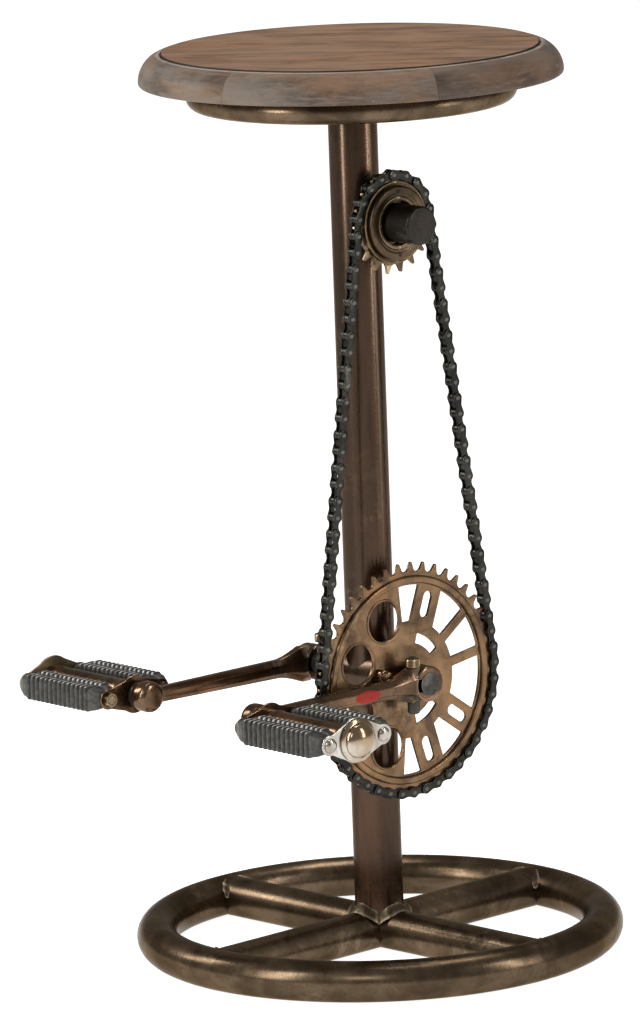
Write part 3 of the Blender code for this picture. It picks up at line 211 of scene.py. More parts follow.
BOLT_HEAD = 0.0057
BOLT_PROFILE = ((0.0, 1.0), (0.5, 0.92), (0.85, 0.55), (1.0, 0.12))
BOLT_RADIUS = 0.003
PEDAL_NUT_FLATS = 0.01
DOME_RADIUS = 0.0135
DOME_FOOT = 0.28
CAP_PROFILE = ((DOME_RADIUS, 0.24), (0.0161, 0.2), (0.0168, 0.13), (0.0168, 0.0), (0.0, 0.0))


def centre(node):
    low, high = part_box(node)
    return (low + high) / 2


def extent(node):
    low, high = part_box(node)
    return high - low


CRANK_HEIGHT = JOINT_AT["crank_spin"][2]
FREEWHEEL_HEIGHT = JOINT_AT["freewheel_spin"][2]
CHAIN_LINE = centre("chain").x

# Materials: noise sizes in metres, limits and shares matched to the photograph
COAT_ROUGHNESS = 0.12
EDGE_BENDS = (0.515, 0.6)
HOLLOW_BENDS = (0.4, 0.49)
RIB_BENDS = (0.42, 0.49)
TINT_FLOOR = 0.35
REFLECTION_FADE = 0.005
FLOOR_GLOW = 0.93


class Shader:
    """A node material that is built step by step, in metres of the frame."""

    def __init__(self, name):
        self.material = bpy.data.materials.new(name)
        self.material.use_nodes = True
        self.tree = self.material.node_tree
        self.out = self.tree.nodes["Principled BSDF"]
        self.place = self.node("TexCoord").outputs["Object"]
        self.colour = None

    def feed(self, node, inputs):
        """Link or set a node's inputs, by name or by number."""
        for key, value in inputs.items():
            if isinstance(value, bpy.types.NodeSocket):
                self.tree.links.new(value, node.inputs[key])
            else:
                node.inputs[key].default_value = value

    def node(self, kind, inputs=None, **settings):
        made = self.tree.nodes.new("ShaderNode" + kind)
        for key, value in settings.items():
            setattr(made, key, value)
        self.feed(made, inputs or {})
        return made

    def noise(self, size, detail=4.0, stretch=None, turn=0.0, rough=0.55, bend=0.0):
        """Noise from 0 to 1 with features of about that size, longer along the axes of a turned frame."""
        place = self.place
        if stretch:
            inputs = {"Vector": place, "Scale": stretch, "Rotation": (0.0, 0.0, turn)}
            place = self.node("Mapping", inputs, vector_type="TEXTURE").outputs["Vector"]
        inputs = {"Vector": place, "Scale": 1.0 / size, "Detail": detail}
        inputs.update({"Roughness": rough, "Distortion": bend})
        return self.node("TexNoise", inputs).outputs["Fac"]

    def ramp(self, value, low, high, invert=False):
        """Spread a value between two limits to the whole of 0 to 1."""
        inputs = {"Value": value, "From Min": low, "From Max": high}
        inputs.update({"To Min": float(invert), "To Max": float(not invert)})
        return self.node("MapRange", inputs, interpolation_type="SMOOTHSTEP").outputs["Result"]

    def between(self, value, low, high):
        """Take a value from 0 to 1 to between two limits."""
        inputs = {"Value": value, "To Min": low, "To Max": high}
        return self.node("MapRange", inputs).outputs["Result"]

    def math(self, operation, first, second=0.0, clamp=False):
        inputs = {0: first, 1: second}
        return self.node("Math", inputs, operation=operation, use_clamp=clamp).outputs["Value"]

    def part(self, value, share):
        return self.math("MULTIPLY", value, share, clamp=True)

    def mix(self, factor, *colours):
        first, second = ((*value, 1.0) if isinstance(value, tuple) else value for value in colours)
        inputs = {"Factor": factor, 6: first, 7: second}
        return self.node("Mix", inputs, data_type="RGBA").outputs[2]

    def lay(self, tint, factor, share=1.0):
        """Lay a tint over the colour so far, by a share of a factor."""
        self.colour = self.mix(self.part(factor, share), self.colour, tint)

    def bends(self, low, high, hollow=False):
        """1 on outer edges, or in hollows, and 0 elsewhere, from the mesh's own pointiness."""
        geometry = self.node("NewGeometry")
        return self.ramp(geometry.outputs["Pointiness"], low, high, hollow)

    def axes(self):
        return self.node("SeparateXYZ", {"Vector": self.place}).outputs

    def pieces_round(self, count, start, length):
        """Turn the place to along, across and up in a ring of glued pieces, each with its own grain."""
        x, y, z = self.axes()
        gradient = self.node("TexGradient", {"Vector": self.place}, gradient_type="RADIAL")
        turn = self.math("ADD", self.math("MULTIPLY", gradient.outputs["Fac"], count), start)
        share = self.math("FRACT", turn)
        piece = self.math("MODULO", self.math("FLOOR", turn), count)
        along = self.math("ADD", share, self.math("MULTIPLY", piece, SEGMENT_SHIFT))
        across = self.math("SQRT", self.math("ADD", *(self.math("POWER", axis, 2.0) for axis in (x, y))))
        inputs = {"X": self.math("MULTIPLY", along, length), "Y": across, "Z": z}
        self.place = self.node("CombineXYZ", inputs).outputs["Vector"]
        return share, self.math("DIVIDE", piece, count)

    def steps(self, value, shares):
        """One share for each equal step of a value from 0 to 1."""
        made = self.node("ValToRGB", {"Fac": value})
        made.color_ramp.interpolation = "CONSTANT"
        marks = made.color_ramp.elements
        while len(marks) < len(shares):
            marks.new(1.0)
        for index, share in enumerate(shares):
            marks[index].position = max(0.0, (index - 0.5) / len(shares))
            marks[index].color = (share, share, share, 1.0)
        return made.outputs["Color"]

    def bump(self, height, depth, strength):
        made = self.node("Bump", {"Height": height, "Distance": depth, "Strength": strength})
        self.feed(self.out, {"Normal": made.outputs["Normal"]})

    def finish(self, roughness, metallic=0.0, coat=0.0, specular=0.5):
        inputs = {"Base Color": self.colour, "Roughness": roughness, "Metallic": metallic}
        inputs.update({"Coat Weight": coat, "Coat Roughness": COAT_ROUGHNESS, "Specular IOR Level": specular})
        self.feed(self.out, inputs)
        return self.material


def worn_metal(
    name, base, dark, bright, rough, metallic=0.93, stretch=(1.0, 1.0, 1.0), wear=0.8, coat=0.15, pits=0.3,
    upper_reflection=None, blush=None,
):
    """Lacquered steel with blotches, streaks, fine specks and bare, bright edges."""
    look = Shader(name)
    blotch = look.ramp(look.noise(0.045, 5.0, stretch, bend=0.6), 0.34, 0.68)
    streak = look.noise(0.006, 5.0, stretch, rough=0.7)
    speck = look.noise(0.0028, 4.0, stretch, rough=0.7)
    look.colour = look.mix(blotch, dark, base)
    look.lay(dark, look.ramp(streak, 0.52, 0.72), 0.7)
    look.lay(dark, look.ramp(speck, 0.6, 0.74), 0.6)
    if blush:
        patch = look.ramp(look.noise(0.03, 6.0, stretch, rough=0.65), 0.48, 0.64)
        look.lay(blush, patch, 0.6)
    rubbed = look.ramp(look.noise(0.01, 5.0, rough=0.7), 0.46, 0.64)
    area = look.part(look.ramp(look.noise(0.08, 2.0), 0.5, 0.72), rubbed)
    look.lay(bright, area, 0.35)
    if wear:
        edge = look.part(look.bends(*EDGE_BENDS), look.between(speck, 0.4, 1.3))
        look.lay(bright, edge, wear)
        # Painted shade: darker in hollows and creases
        look.lay(dark, look.bends(*HOLLOW_BENDS, hollow=True), 0.8)
    # Painted reflection: the upper half, above the pedal axis, is tinted brown
    if upper_reflection:
        upper = look.ramp(look.axes()["Z"], CRANK_HEIGHT - REFLECTION_FADE, CRANK_HEIGHT + REFLECTION_FADE)
        look.lay(upper_reflection, upper, 0.8)
    roughness = look.between(look.noise(0.008, 5.0, rough=0.65), rough - 0.1, rough + 0.14)
    look.bump(look.noise(0.0016, 5.0, rough=0.65), 0.0001, pits)
    # Old lacquer stays brown at a grazing angle
    tint = (TINT_FLOOR + (1 - TINT_FLOOR) * part for part in bright)
    look.feed(look.out, {"Specular Tint": (*tint, 1.0)})
    return look.finish(roughness, metallic, coat)


GRAIN_TURN = radians(42)
SEGMENTS = 6
SEGMENT_START = 0.303
SEGMENT_LENGTH = 0.165
SEGMENT_LINE = 0.006
SEGMENT_SHIFT = 7.0
SEGMENT_GREYS = (0.75, 1.0, 0.85, 0.55, 0.9, 0.6)
# Darkening of each glued rim segment: partly the wood's own tone, partly painted shade on the side away from
# the light
SEGMENT_DARKS_AND_SHADE = (0.2, 0.0, 0.0, 0.3, 0.25, 0.15)


def seat_wood(name, base, dark, pale, grey, weathered, joints=False, length=1.0):
    """Grained wood with pores, bands and grey weathering, straight or in glued segments round the seat."""
    look = Shader(name)
    if joints:
        share, piece = look.pieces_round(SEGMENTS, SEGMENT_START, SEGMENT_LENGTH)
    turn = 0.0 if joints else GRAIN_TURN
    band = look.noise(0.016, 5.0, (5.0 * length, 1.0, 2.0), turn, rough=0.65, bend=0.3)
    grain = look.noise(0.0022, 8.0, (12.0 * length, 1.0, 1.4), turn, rough=0.75, bend=0.2)
    pore = look.noise(0.0011, 3.0, (9.0, 1.0, 1.2), turn, rough=0.8)
    look.colour = look.mix(look.ramp(band, 0.36, 0.62), dark, base)
    look.lay(pale, look.ramp(grain, 0.46, 0.72), 0.5)
    look.lay(dark, look.ramp(pore, 0.56, 0.72), 0.6)
    overlay = look.ramp(look.noise(0.045, 7.0, (3.0 * length, 1.0, 1.0), turn, rough=0.7), 0.42, 0.62)
    if joints:
        overlay = look.part(overlay, look.steps(piece, SEGMENT_GREYS))
    look.lay(grey, overlay, weathered)
    stain = look.ramp(look.noise(0.012, 6.0, (2.5, 1.0, 1.0), turn, rough=0.75), 0.58, 0.72)
    look.lay(dark, stain, 0.45)
    scratch = look.noise(0.0016, 2.0, (14.0, 1.0, 1.0), turn + 0.3, rough=0.5)
    look.lay(pale, look.ramp(scratch, 0.7, 0.78), 0.7)
    if joints:
        # Per-segment darkening: partly the wood's tone, partly painted shade
        look.lay(dark, look.steps(piece, SEGMENT_DARKS_AND_SHADE))
        line = look.ramp(share, 0.0, SEGMENT_LINE, invert=True)
        look.lay(dark, line, 0.7)
    roughness = look.between(grain, 0.44, 0.66)
    look.bump(look.math("ADD", grain, look.part(pore, 0.5), clamp=True), 0.00025, 0.5)
    return look.finish(roughness, specular=0.13)


def worn_rubber(name, base, scuffed):
    """Dusty grey-green rubber, mottled, with a share of pale scuffs."""
    look = Shader(name)
    dust = look.ramp(look.noise(0.0035, 6.0, rough=0.8), 0.42, 0.62)
    look.colour = look.mix(dust, (0.009, 0.0085, 0.0065), base)
    scuff = look.ramp(look.noise(0.004, 5.0, rough=0.7), 0.36, 0.5)
    look.lay((0.52, 0.515, 0.48), scuff, scuffed)
    # Painted shade in the rib hollows
    look.lay((0.006, 0.006, 0.005), look.bends(*RIB_BENDS, hollow=True), 0.6)
    roughness = look.between(look.noise(0.004, 5.0, rough=0.7), 0.26, 0.58)
    look.bump(look.noise(0.0012, 5.0, rough=0.75), 0.0003, 0.8)
    return look.finish(roughness, specular=0.35)


def label_red():
    look = Shader("plain_red_label")
    scuff = look.ramp(look.noise(0.003, 6.0, rough=0.7), 0.34, 0.76)
    look.colour = look.mix(scuff, (0.34, 0.012, 0.008), (0.15, 0.045, 0.03))
    roughness = look.between(look.noise(0.002, 4.0), 0.44, 0.62)
    return look.finish(roughness, specular=0.12)


def pale_floor():
    """A nearly white, evenly lit studio sweep."""
    look = Shader("pale_floor")
    cloud = look.noise(0.6, 3.0)
    look.colour = look.mix(cloud, (0.52, 0.52, 0.52), (0.56, 0.56, 0.56))
    look.feed(look.out, {"Emission Color": (1.0, 1.0, 1.0, 1.0), "Emission Strength": FLOOR_GLOW})
    return look.finish(look.between(cloud, 0.75, 0.85), specular=0.2)


POST_STREAKS = (1.0, 1.0, 9.0)
BRONZE = worn_metal(
    "bronze_lacquer", (0.079, 0.046, 0.028), (0.03, 0.017, 0.01), (0.24, 0.17, 0.1), 0.24,
    stretch=POST_STREAKS, pits=0.1, blush=(0.08, 0.041, 0.024),
)
BASE_BRONZE = worn_metal(
    "base_bronze", (0.128, 0.088, 0.054), (0.05, 0.033, 0.02), (0.34, 0.26, 0.17), 0.26, coat=0, pits=0.2
)
COPPER = worn_metal(
    "copper_bronze", (0.215, 0.13, 0.066), (0.062, 0.036, 0.019), (0.42, 0.3, 0.18),
    0.27, wear=0, blush=(0.24, 0.124, 0.056),
)
CRANK = worn_metal(
    "crank_bronze", (0.148, 0.086, 0.046), (0.044, 0.025, 0.014), (0.55, 0.42, 0.29),
    0.19, pits=0.15, blush=(0.19, 0.082, 0.035),
)
EDGE = worn_metal("worn_edge", (0.34, 0.235, 0.14), (0.1, 0.062, 0.036), (0.56, 0.45, 0.32), 0.28, wear=0)
CHAIN_BLACK = worn_metal(
    "chain_steel", (0.024, 0.022, 0.017), (0.008, 0.0075, 0.006), (0.15, 0.145, 0.12), 0.32, wear=0.5
)
PIN_STEEL = worn_metal("pin_steel", (0.034, 0.032, 0.026), (0.012, 0.011, 0.009), (0.17, 0.165, 0.14), 0.36)
STEEL = worn_metal("bare_steel", (0.26, 0.245, 0.215), (0.09, 0.078, 0.062), (0.58, 0.56, 0.51), 0.32)
ROUGH_STEEL = worn_metal(
    "rough_steel", (0.105, 0.1, 0.088), (0.022, 0.02, 0.017), (0.34, 0.33, 0.3), 0.44, pits=1.0
)
BRASSY = worn_metal("brassy_steel", (0.15, 0.098, 0.05), (0.034, 0.021, 0.011), (0.52, 0.4, 0.23), 0.3)
BRASS_PLATE = worn_metal("brass_plate", (0.42, 0.33, 0.2), (0.13, 0.092, 0.052), (0.7, 0.6, 0.42), 0.36)
LOCK = worn_metal(
    "lock_ring_bronze", (0.09, 0.059, 0.034), (0.024, 0.015, 0.008), (0.54, 0.41, 0.22), 0.34, wear=1.0
)
PLATED = worn_metal(
    "bright_plate", (0.6, 0.59, 0.55), (0.24, 0.2, 0.15), (0.85, 0.84, 0.81), 0.22, 0.97, wear=0.5, coat=0.1
)
# Plated dome with a painted brown reflection over its upper half
REFLECTIVE_DOME = worn_metal(
    "tarnished_dome", (0.62, 0.6, 0.56), (0.3, 0.23, 0.15), (0.85, 0.84, 0.8), 0.15, 0.97,
    wear=0, coat=0.1, upper_reflection=(0.26, 0.165, 0.085),
)
BLACKED = worn_metal("dark_steel", (0.028, 0.023, 0.018), (0.01, 0.008, 0.006), (0.13, 0.12, 0.1), 0.46)
WELD = worn_metal(
    "weld_bead", (0.17, 0.128, 0.08), (0.045, 0.03, 0.018), (0.6, 0.49, 0.33),
    0.34, wear=0.5, coat=0, pits=1.0,
)
PANEL = seat_wood(
    "panel_wood", (0.205, 0.104, 0.05), (0.09, 0.044, 0.023), (0.3, 0.195, 0.118),
    (0.225, 0.145, 0.092), 0.45, length=0.8,
)
RIM = seat_wood(
    "rim_wood", (0.15, 0.088, 0.053), (0.05, 0.032, 0.022), (0.23, 0.186, 0.146),
    (0.136, 0.121, 0.103), 0.8, joints=True,
)
# Painted shade: dark wood for the panel's edge wall, standing in for the shadow in the step
PANEL_EDGE_SHADE = seat_wood(
    "groove_wood", (0.03, 0.018, 0.011), (0.012, 0.007, 0.005), (0.055, 0.036, 0.024),
    (0.03, 0.022, 0.016), 0.4,
)
# Painted highlight: pale wood for the band along the rim's inner crest
RIM_CREST_HIGHLIGHT = seat_wood(
    "rubbed_rim_wood", (0.25, 0.205, 0.16), (0.13, 0.098, 0.072), (0.36, 0.315, 0.26),
    (0.25, 0.222, 0.185), 0.6,
)
RUBBER = worn_rubber("pedal_rubber", (0.046, 0.043, 0.033), 0.02)
# Pale scuffs together with a painted highlight, for the upward rib tops
SCUFFS_AND_HIGHLIGHT = worn_rubber("scuffed_rubber", (0.11, 0.106, 0.09), 0.85)
LABEL = label_red()

# Meshes


def put(name, data):
    made = bpy.data.objects.new(name, data)
    bpy.context.scene.collection.objects.link(made)
    return made


def make(name, form, body, material, slot, *nodes, smooth=38, overlay=None):
    """A piece of the object, from a mesh or a bmesh, on its body and standing for its CAD nodes."""
    mesh = mesh_from(form, name) if isinstance(form, bmesh.types.BMesh) else form
    mesh.shade_smooth()
    mesh.set_sharp_from_angle(angle=radians(smooth))
    mesh.materials.append(material)
    # The second material is worn edges on some pieces, painted shade on the seat panel's edge wall and a
    # painted highlight on the rim crest and the pedal rib tops
    if overlay:
        mesh.materials.append(overlay)
    piece = put(name, mesh)
    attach(piece, body)
    if nodes:
        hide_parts(*nodes)
    return piece


def mesh_from(shape, name):
    bmesh.ops.remove_doubles(shape, verts=shape.verts, dist=MERGED)
    bmesh.ops.recalc_face_normals(shape, faces=shape.faces)
    mesh = bpy.data.meshes.new(name)
    shape.to_mesh(mesh)
    shape.free()
    return mesh


def rounded(profile, radius, steps=3):
    """Round the corners of a profile, the two ends left as they are."""
    points = [Vector(point) for point in profile]
    result = [points[0]]
    for before, corner, after in zip(points, points[1:], points[2:]):
        into = before - corner
        out = after - corner
        reach = min(radius, into.length * CORNER_SHARE, out.length * CORNER_SHARE)
        start = corner + into.normalized() * reach
        end = corner + out.normalized() * reach
        for step in range(steps + 1):
            share = step / steps
            result.append(start.lerp(corner, share).lerp(corner.lerp(end, share), share))
    result.append(points[-1])
    return result


def soften(outline, radius):
    """Round the corners of a closed outline."""
    closed = outline[-1:] + outline + outline[:1]
    return [tuple(point) for point in rounded(closed, radius)[1:-1]]


AXES = {
    "X": Matrix(((0, 0, 1), (1, 0, 0), (0, 1, 0))),
    "Y": Matrix(((1, 0, 0), (0, 0, 1), (0, -1, 0))),
    "Z": Matrix.Identity(3),
}


def lathe(shape, profile, origin, axis="Z", steps=64, closed=False):
    """Turn (radius, along) points about an axis through the origin, into the bmesh."""
    around = ring_of((0, 0), 1.0, steps)
    sections = []
    for radius, along in profile + profile[:1] if closed else profile:
        places = [Vector((radius * x, radius * y, along)) for x, y in around]
        sections.append([AXES[axis] @ place + Vector(origin) for place in places])
    return loft(shape, sections, caps=False)


def turned(name, profile, origin, axis, body, material, slot, node, steps=64, closed=False, edge=SOFT_EDGE):
    if edge and not closed:
        profile = rounded(profile, edge)
    shape = lathe(bmesh.new(), profile, origin, axis, steps, closed)
    return make(name, shape, body, material, slot, node)


def loft(shape, sections, caps=True):
    """Join rows of points, each a closed section with the same count."""
    rows = [[shape.verts.new(point) for point in section] for section in sections]
    for first, second in zip(rows, rows[1:]):
        for index in range(len(first)):
            after = (index + 1) % len(first)
            shape.faces.new((first[index], first[after], second[after], second[index]))
    if caps:
        shape.faces.new(rows[0])
        shape.faces.new(rows[-1])
    return shape


def polar(radius, angle):
    return radius * cos(angle), radius * sin(angle)


def arc(middle, radius, start, end, count):
    angles = [start + (end - start) * index / (count - 1) for index in range(count)]
    return [(middle[0] + x, middle[1] + y) for x, y in (polar(radius, angle) for angle in angles)]


def ring_of(middle, radius, count):
    return arc(middle, radius, 0, 2 * pi * (count - 1) / count, count)


def plate(outlines, thickness, origin, edge):
    """A flat plate in the Y-Z plane whose softened edges take the second material."""
    curve = bpy.data.curves.new("plate", "CURVE")
    curve.dimensions = "2D"
    curve.fill_mode = "BOTH"
    curve.bevel_depth = edge
    curve.bevel_resolution = 2
    curve.offset = -edge
    curve.extrude = thickness / 2 - edge
    for outline in outlines:
        spline = curve.splines.new("POLY")
        spline.points.add(len(outline) - 1)
        for point, (y, z) in zip(spline.points, outline):
            point.co = (y, z, 0, 1)
        spline.use_cyclic_u = True
    holder = put("plate", curve)
    bpy.context.view_layer.update()
    mesh = bpy.data.meshes.new_from_object(holder.evaluated_get(bpy.context.evaluated_depsgraph_get()))
    bpy.data.objects.remove(holder, do_unlink=True)
    bpy.data.curves.remove(curve)
    for face in mesh.polygons:
        face.material_index = int(SLOPED[0] < abs(face.normal.z) < SLOPED[1])
    mesh.transform(Matrix.Translation(origin) @ AXES["X"].to_4x4())
    return mesh


def mark(shape, inner, outer):
    """Give the second material to faces whose middle lies between two distances from the post."""
    for face in shape.faces:
        middle = face.calc_center_median()
        face.material_index = int(inner < hypot(middle.x, middle.y) < outer)


def shape_of(mesh):
    """A bmesh in place of a mesh."""
    shape = bmesh.new()
    shape.from_mesh(mesh)
    bpy.data.meshes.remove(mesh)
    return shape


def weld(name, rows, closed):
    """A lumpy fillet weld along a crease: rows of (point, along one face, along the other, leg)."""
    far, near = WELD_SHOULDER
    sections = []
    for point, first, second, leg in rows:
        lump = noise.noise(point / WELD_LUMP)
        ripple = noise.noise(point / WELD_RIPPLE)
        reach = leg * (1.0 + WELD_UNEVEN[0] * lump + WELD_UNEVEN[1] * ripple)
        belly = WELD_BELLY[0] + WELD_BELLY[1] * ripple
        sections.append([
            point - (first + second) * WELD_BURIED,
            point + first * reach - second * WELD_BURIED,
            point + (first * far + second * near) * reach,
            point + (first + second) * reach * belly,
            point + (first * near + second * far) * reach,
            point + second * reach - first * WELD_BURIED,
        ])
    if closed:
        sections.append(sections[0])
    shape = loft(bmesh.new(), sections, caps=not closed)
    return make(name, shape, "stand", WELD, "bronze_lacquer", smooth=70)


# Base, post and bottom bracket shell


def tube_ring(name, node):
    size = extent(node)
    minor = size.z / 2
    major = size.x / 2 - minor / cos(pi / CAD_TUBE_SIDES)
    profile = ring_of((major, 0), minor, TUBE_STEPS)
    finish = ("stand", BASE_BRONZE, "bronze_lacquer")
    turned(name, profile, centre(node), "Z", *finish, node, steps=RING_STEPS, closed=True)
    return major, minor


def build_base():
    major, minor = tube_ring("ring_base", "base_ring")
    height = centre("base_ring").z
    middle = (0, 0, height)
    cross = [(minor, -major), (minor, major)]
    finish = ("stand", BASE_BRONZE, "bronze_lacquer")
    tubes = [turned("cross_tube", cross, middle, "X", *finish, "base_cross_tube", edge=0)]
    for name, sign in (("base_spoke_front", 1), ("base_spoke_rear", -1)):
        spoke = [(minor, 0), (minor, sign * major)]
        tubes.append(turned(name + "_tube", spoke, middle, "Y", *finish, name, edge=0))
    for tube in tubes:
        tube.data.transform(BASE_TWIST)

    for quarter in range(4):
        turn = Matrix.Rotation(BASE_TURN + quarter * pi / 2, 3, "Z")
        inward = turn @ Vector((-1, 0, 0))
        for side in (-1, 1):
            # The tubes meet level at the top, so each side has its own short weld
            rows = []
            points = arc((0, 0), minor, *RING_WELD_SPAN, 25)
            for index, (reach, up) in enumerate(points):
                across = side * reach
                wall = major - sqrt(minor * minor - up * up)
                along = sqrt(wall * wall - across * across)
                point = turn @ Vector((along, across, height + up))
                outward = turn @ Vector((0, across, up)).normalized()
                fade = sqrt(sin(pi * (index + 0.5) / len(points)))
                rows.append((point, inward, outward, RING_WELD * fade * reach / minor))
            weld(f"ring_weld_{quarter}_{'right' if side > 0 else 'left'}", rows, closed=False)

    post = extent("post_lower").x / 2
    rows = []
    for x, y in ring_of((0, 0), post, 120):
        low = min(abs(x), abs(y))
        point = BASE_TWIST @ Vector((x, y, height + sqrt(minor * minor - low * low)))
        outward = Vector((point.x, point.y, 0)).normalized()
        rows.append((point, Vector((0, 0, 1)), outward, POST_WELD))
    weld("post_weld", rows, closed=True)


def build_post():
    radius = extent("post_lower").x / 2
    shell = extent("bb_shell") / 2
    axis = centre("bb_shell")
    low = centre("base_cross_tube").z
    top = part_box("post_upper")[1].z
    finish = ("stand", BRONZE, "bronze_lacquer")
    turned("lower_post", [(radius, axis.z), (radius, low)], GROUND, "Z", *finish, "post_lower", edge=0)
    upper = [(radius * POST_BORE, top), (radius, top), (radius, axis.z)]
    turned("upper_post", upper, GROUND, "Z", *finish, "post_upper")
    wall = shell.z * BRACKET_BORE
    body = [(wall, shell.x), (shell.z, shell.x), (shell.z, -shell.x), (wall, -shell.x)]
    turned("bracket_shell", body, axis, "X", *finish, "bb_shell", edge=BROAD_EDGE)


# Seat


def build_seat():
    tube_ring("seat_support_ring", "seat_ring")
    low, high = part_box("seat_panel")
    top = high.z
    bottom = low.z
    panel = extent("seat_panel").x / 2
    radius = extent("seat_rim").x / 2

    def crown(distance):
        share = min(1.0, max(0.0, distance - panel) / (radius - panel))
        fall = 1 - (1 - share**SEAT_RIM_FULLNESS) ** (1 / SEAT_RIM_FULLNESS)
        return top - SEAT_PROUD * (1 - share) - SEAT_RIM_DROP * fall

    profile = [((panel - 2 * SEAT_EDGE) * step / 12, top) for step in range(13)]
    profile += arc((panel - SEAT_EDGE / 2, top - SEAT_EDGE / 2), SEAT_EDGE / 2, pi / 2, 0, 4)
    profile += [(panel, top - 2 * SEAT_GROOVE), (panel, bottom), (0.0, bottom)]
    shape = lathe(bmesh.new(), profile, GROUND, "Z", RING_STEPS)
    # The panel's edge wall takes the painted shade
    mark(shape, panel - SEAT_EDGE, panel + SEAT_EDGE)
    make("wood_panel", shape, "stand", PANEL, "panel_wood", "seat_panel", overlay=PANEL_EDGE_SHADE)

    start = panel + SEAT_EDGE * SEAT_GAP
    span = radius - start
    tongue = panel - SEAT_EDGE / 2
    profile = [(tongue, bottom), (tongue, top - 2 * SEAT_GROOVE), (start, top - 2 * SEAT_GROOVE)]
    profile += arc((start + SEAT_EDGE, crown(start) - SEAT_EDGE), SEAT_EDGE, pi, radians(95), 5)
    distances = [start + span * sin(pi / 2 * step / 24) for step in range(2, 25)]
    profile += [(distance, crown(distance)) for distance in distances if distance > profile[-1][0]]
    low_middle = (radius - SEAT_LOWER_ROUND, bottom + SEAT_LOWER_ROUND)
    profile += arc(low_middle, SEAT_LOWER_ROUND, 0, -pi / 2, 6)
    profile.reverse()
    shape = lathe(bmesh.new(), profile, GROUND, "Z", 192)
    # A band along the rim's inner crest takes the painted highlight
    mark(shape, *(start + SEAT_EDGE * share for share in SEAT_CREST_HIGHLIGHT))
    make("wood_rim", shape, "stand", RIM, "rim_wood", "seat_rim", overlay=RIM_CREST_HIGHLIGHT)


# Chain drive


def roller_centres():
    """Roller centres in (Y, Z) about the crank axis, on both sprockets and both straight runs."""
    large_step, small_step = (2 * pi / teeth for teeth in (CHAINRING_TEETH, FREEWHEEL_TEETH))
    large, small = (CHAIN_PITCH / (2 * sin(step / 2)) for step in (large_step, small_step))
    rise = FREEWHEEL_HEIGHT - CRANK_HEIGHT
    lean = asin((large - small) / rise)
    on_large = round((pi / 2 + lean) / large_step)
    on_small = round((pi / 2 - lean) / small_step)
    straight = CHAIN_LINKS // 2 - on_large - on_small
    climb = arc((0, 0), large, -pi / 2, on_large * large_step - pi / 2, on_large + 1)
    over = arc((0, rise), small, pi / 2 - on_small * small_step, pi / 2, on_small + 1)
    first = Vector(climb[-1])
    last = Vector(over[0])
    climb += [tuple(first.lerp(last, step / straight)) for step in range(1, straight)]
    climb += over
    return climb + [(-y, z) for y, z in reversed(climb[1:-1])]


def link_outline():
    """A waisted link plate about the middle of a link that lies along local Y."""
    waist = LINK_WAIST / 2
    right = arc((CHAIN_PITCH / 2, 0), LINK_HEIGHT / 2, -LINK_WRAP, LINK_WRAP, 11)
    left = [(-y, -z) for y, z in right]
    return right + [(0.0, waist)] + left + [(0.0, -waist)]


def build_chain():
    middle = Vector((CHAIN_LINE, 0, CRANK_HEIGHT))
    rollers = roller_centres()
    pattern = plate([link_outline()], LINK_THICKNESS, GROUND, LINK_THICKNESS * LINK_EDGE)
    plates = bmesh.new()
    for index, (first, second) in enumerate(zip(rollers, rollers[1:] + rollers[:1])):
        half = (Vector(first) + Vector(second)) / 2
        angle = atan2(second[1] - first[1], second[0] - first[0])
        offset = INNER_LINK_X if index % 2 == 0 else OUTER_LINK_X
        for side in (-1, 1):
            place = Matrix.Translation(middle + Vector((side * offset, half.x, half.y)))
            copy = pattern.copy()
            copy.transform(place @ Matrix.Rotation(angle, 4, "X"))
            plates.from_mesh(copy)
            bpy.data.meshes.remove(copy)
    bpy.data.meshes.remove(pattern)

    barrels = bmesh.new()
    pins = bmesh.new()
    face = OUTER_LINK_X + LINK_THICKNESS / 2
    head = face + PIN_HEAD
    crown = PIN_RADIUS * PIN_CROWN
    barrel = [(ROLLER_RADIUS, INNER_LINK_X), (ROLLER_RADIUS, -INNER_LINK_X)]
    pin = [(0.0, head), (crown, head), (PIN_RADIUS, face), (PIN_RADIUS, -face), (crown, -head), (0.0, -head)]
    for y, z in rollers:
        place = middle + Vector((0, y, z))
        lathe(barrels, barrel, place, "X", 16)
        lathe(pins, pin, place, "X", 12)
    make("chain_plates", plates, "stand", CHAIN_BLACK, "chain_steel", "chain", overlay=PIN_STEEL)
    make("chain_rollers", barrels, "stand", CHAIN_BLACK, "chain_steel")
    make("chain_pins", pins, "stand", PIN_STEEL, "chain_steel")


def toothed(teeth, gap_angle):
    """A sprocket outline with round roller seats and narrow tips."""
    radius = CHAIN_PITCH / (2 * sin(pi / teeth))
    step = 2 * pi / teeth
    outline = []
    for tooth in range(teeth):
        angle = gap_angle + tooth * step
        middle = polar(radius, angle)
        outline += arc(middle, ROLLER_RADIUS + ROLLER_PLAY, *(angle + turn for turn in TOOTH_SEAT), 7)
        for turn, drop in TOOTH_TIP:
            outline.append(polar(radius + TOOTH_ADDENDUM - drop, angle + step * turn))
    return outline


def window(start, start_half, end, end_half):
    """An opening of the chainring between two spokes."""
    outline = []
    for radius, count in ((WINDOW_OUTER, 12), (WINDOW_INNER, 10)):
        first = start + asin(start_half / radius)
        last = end - asin(end_half / radius)
        outline = arc((0, 0), radius, first, last, count) + outline[::-1]
    return soften(outline, WINDOW_CORNER)


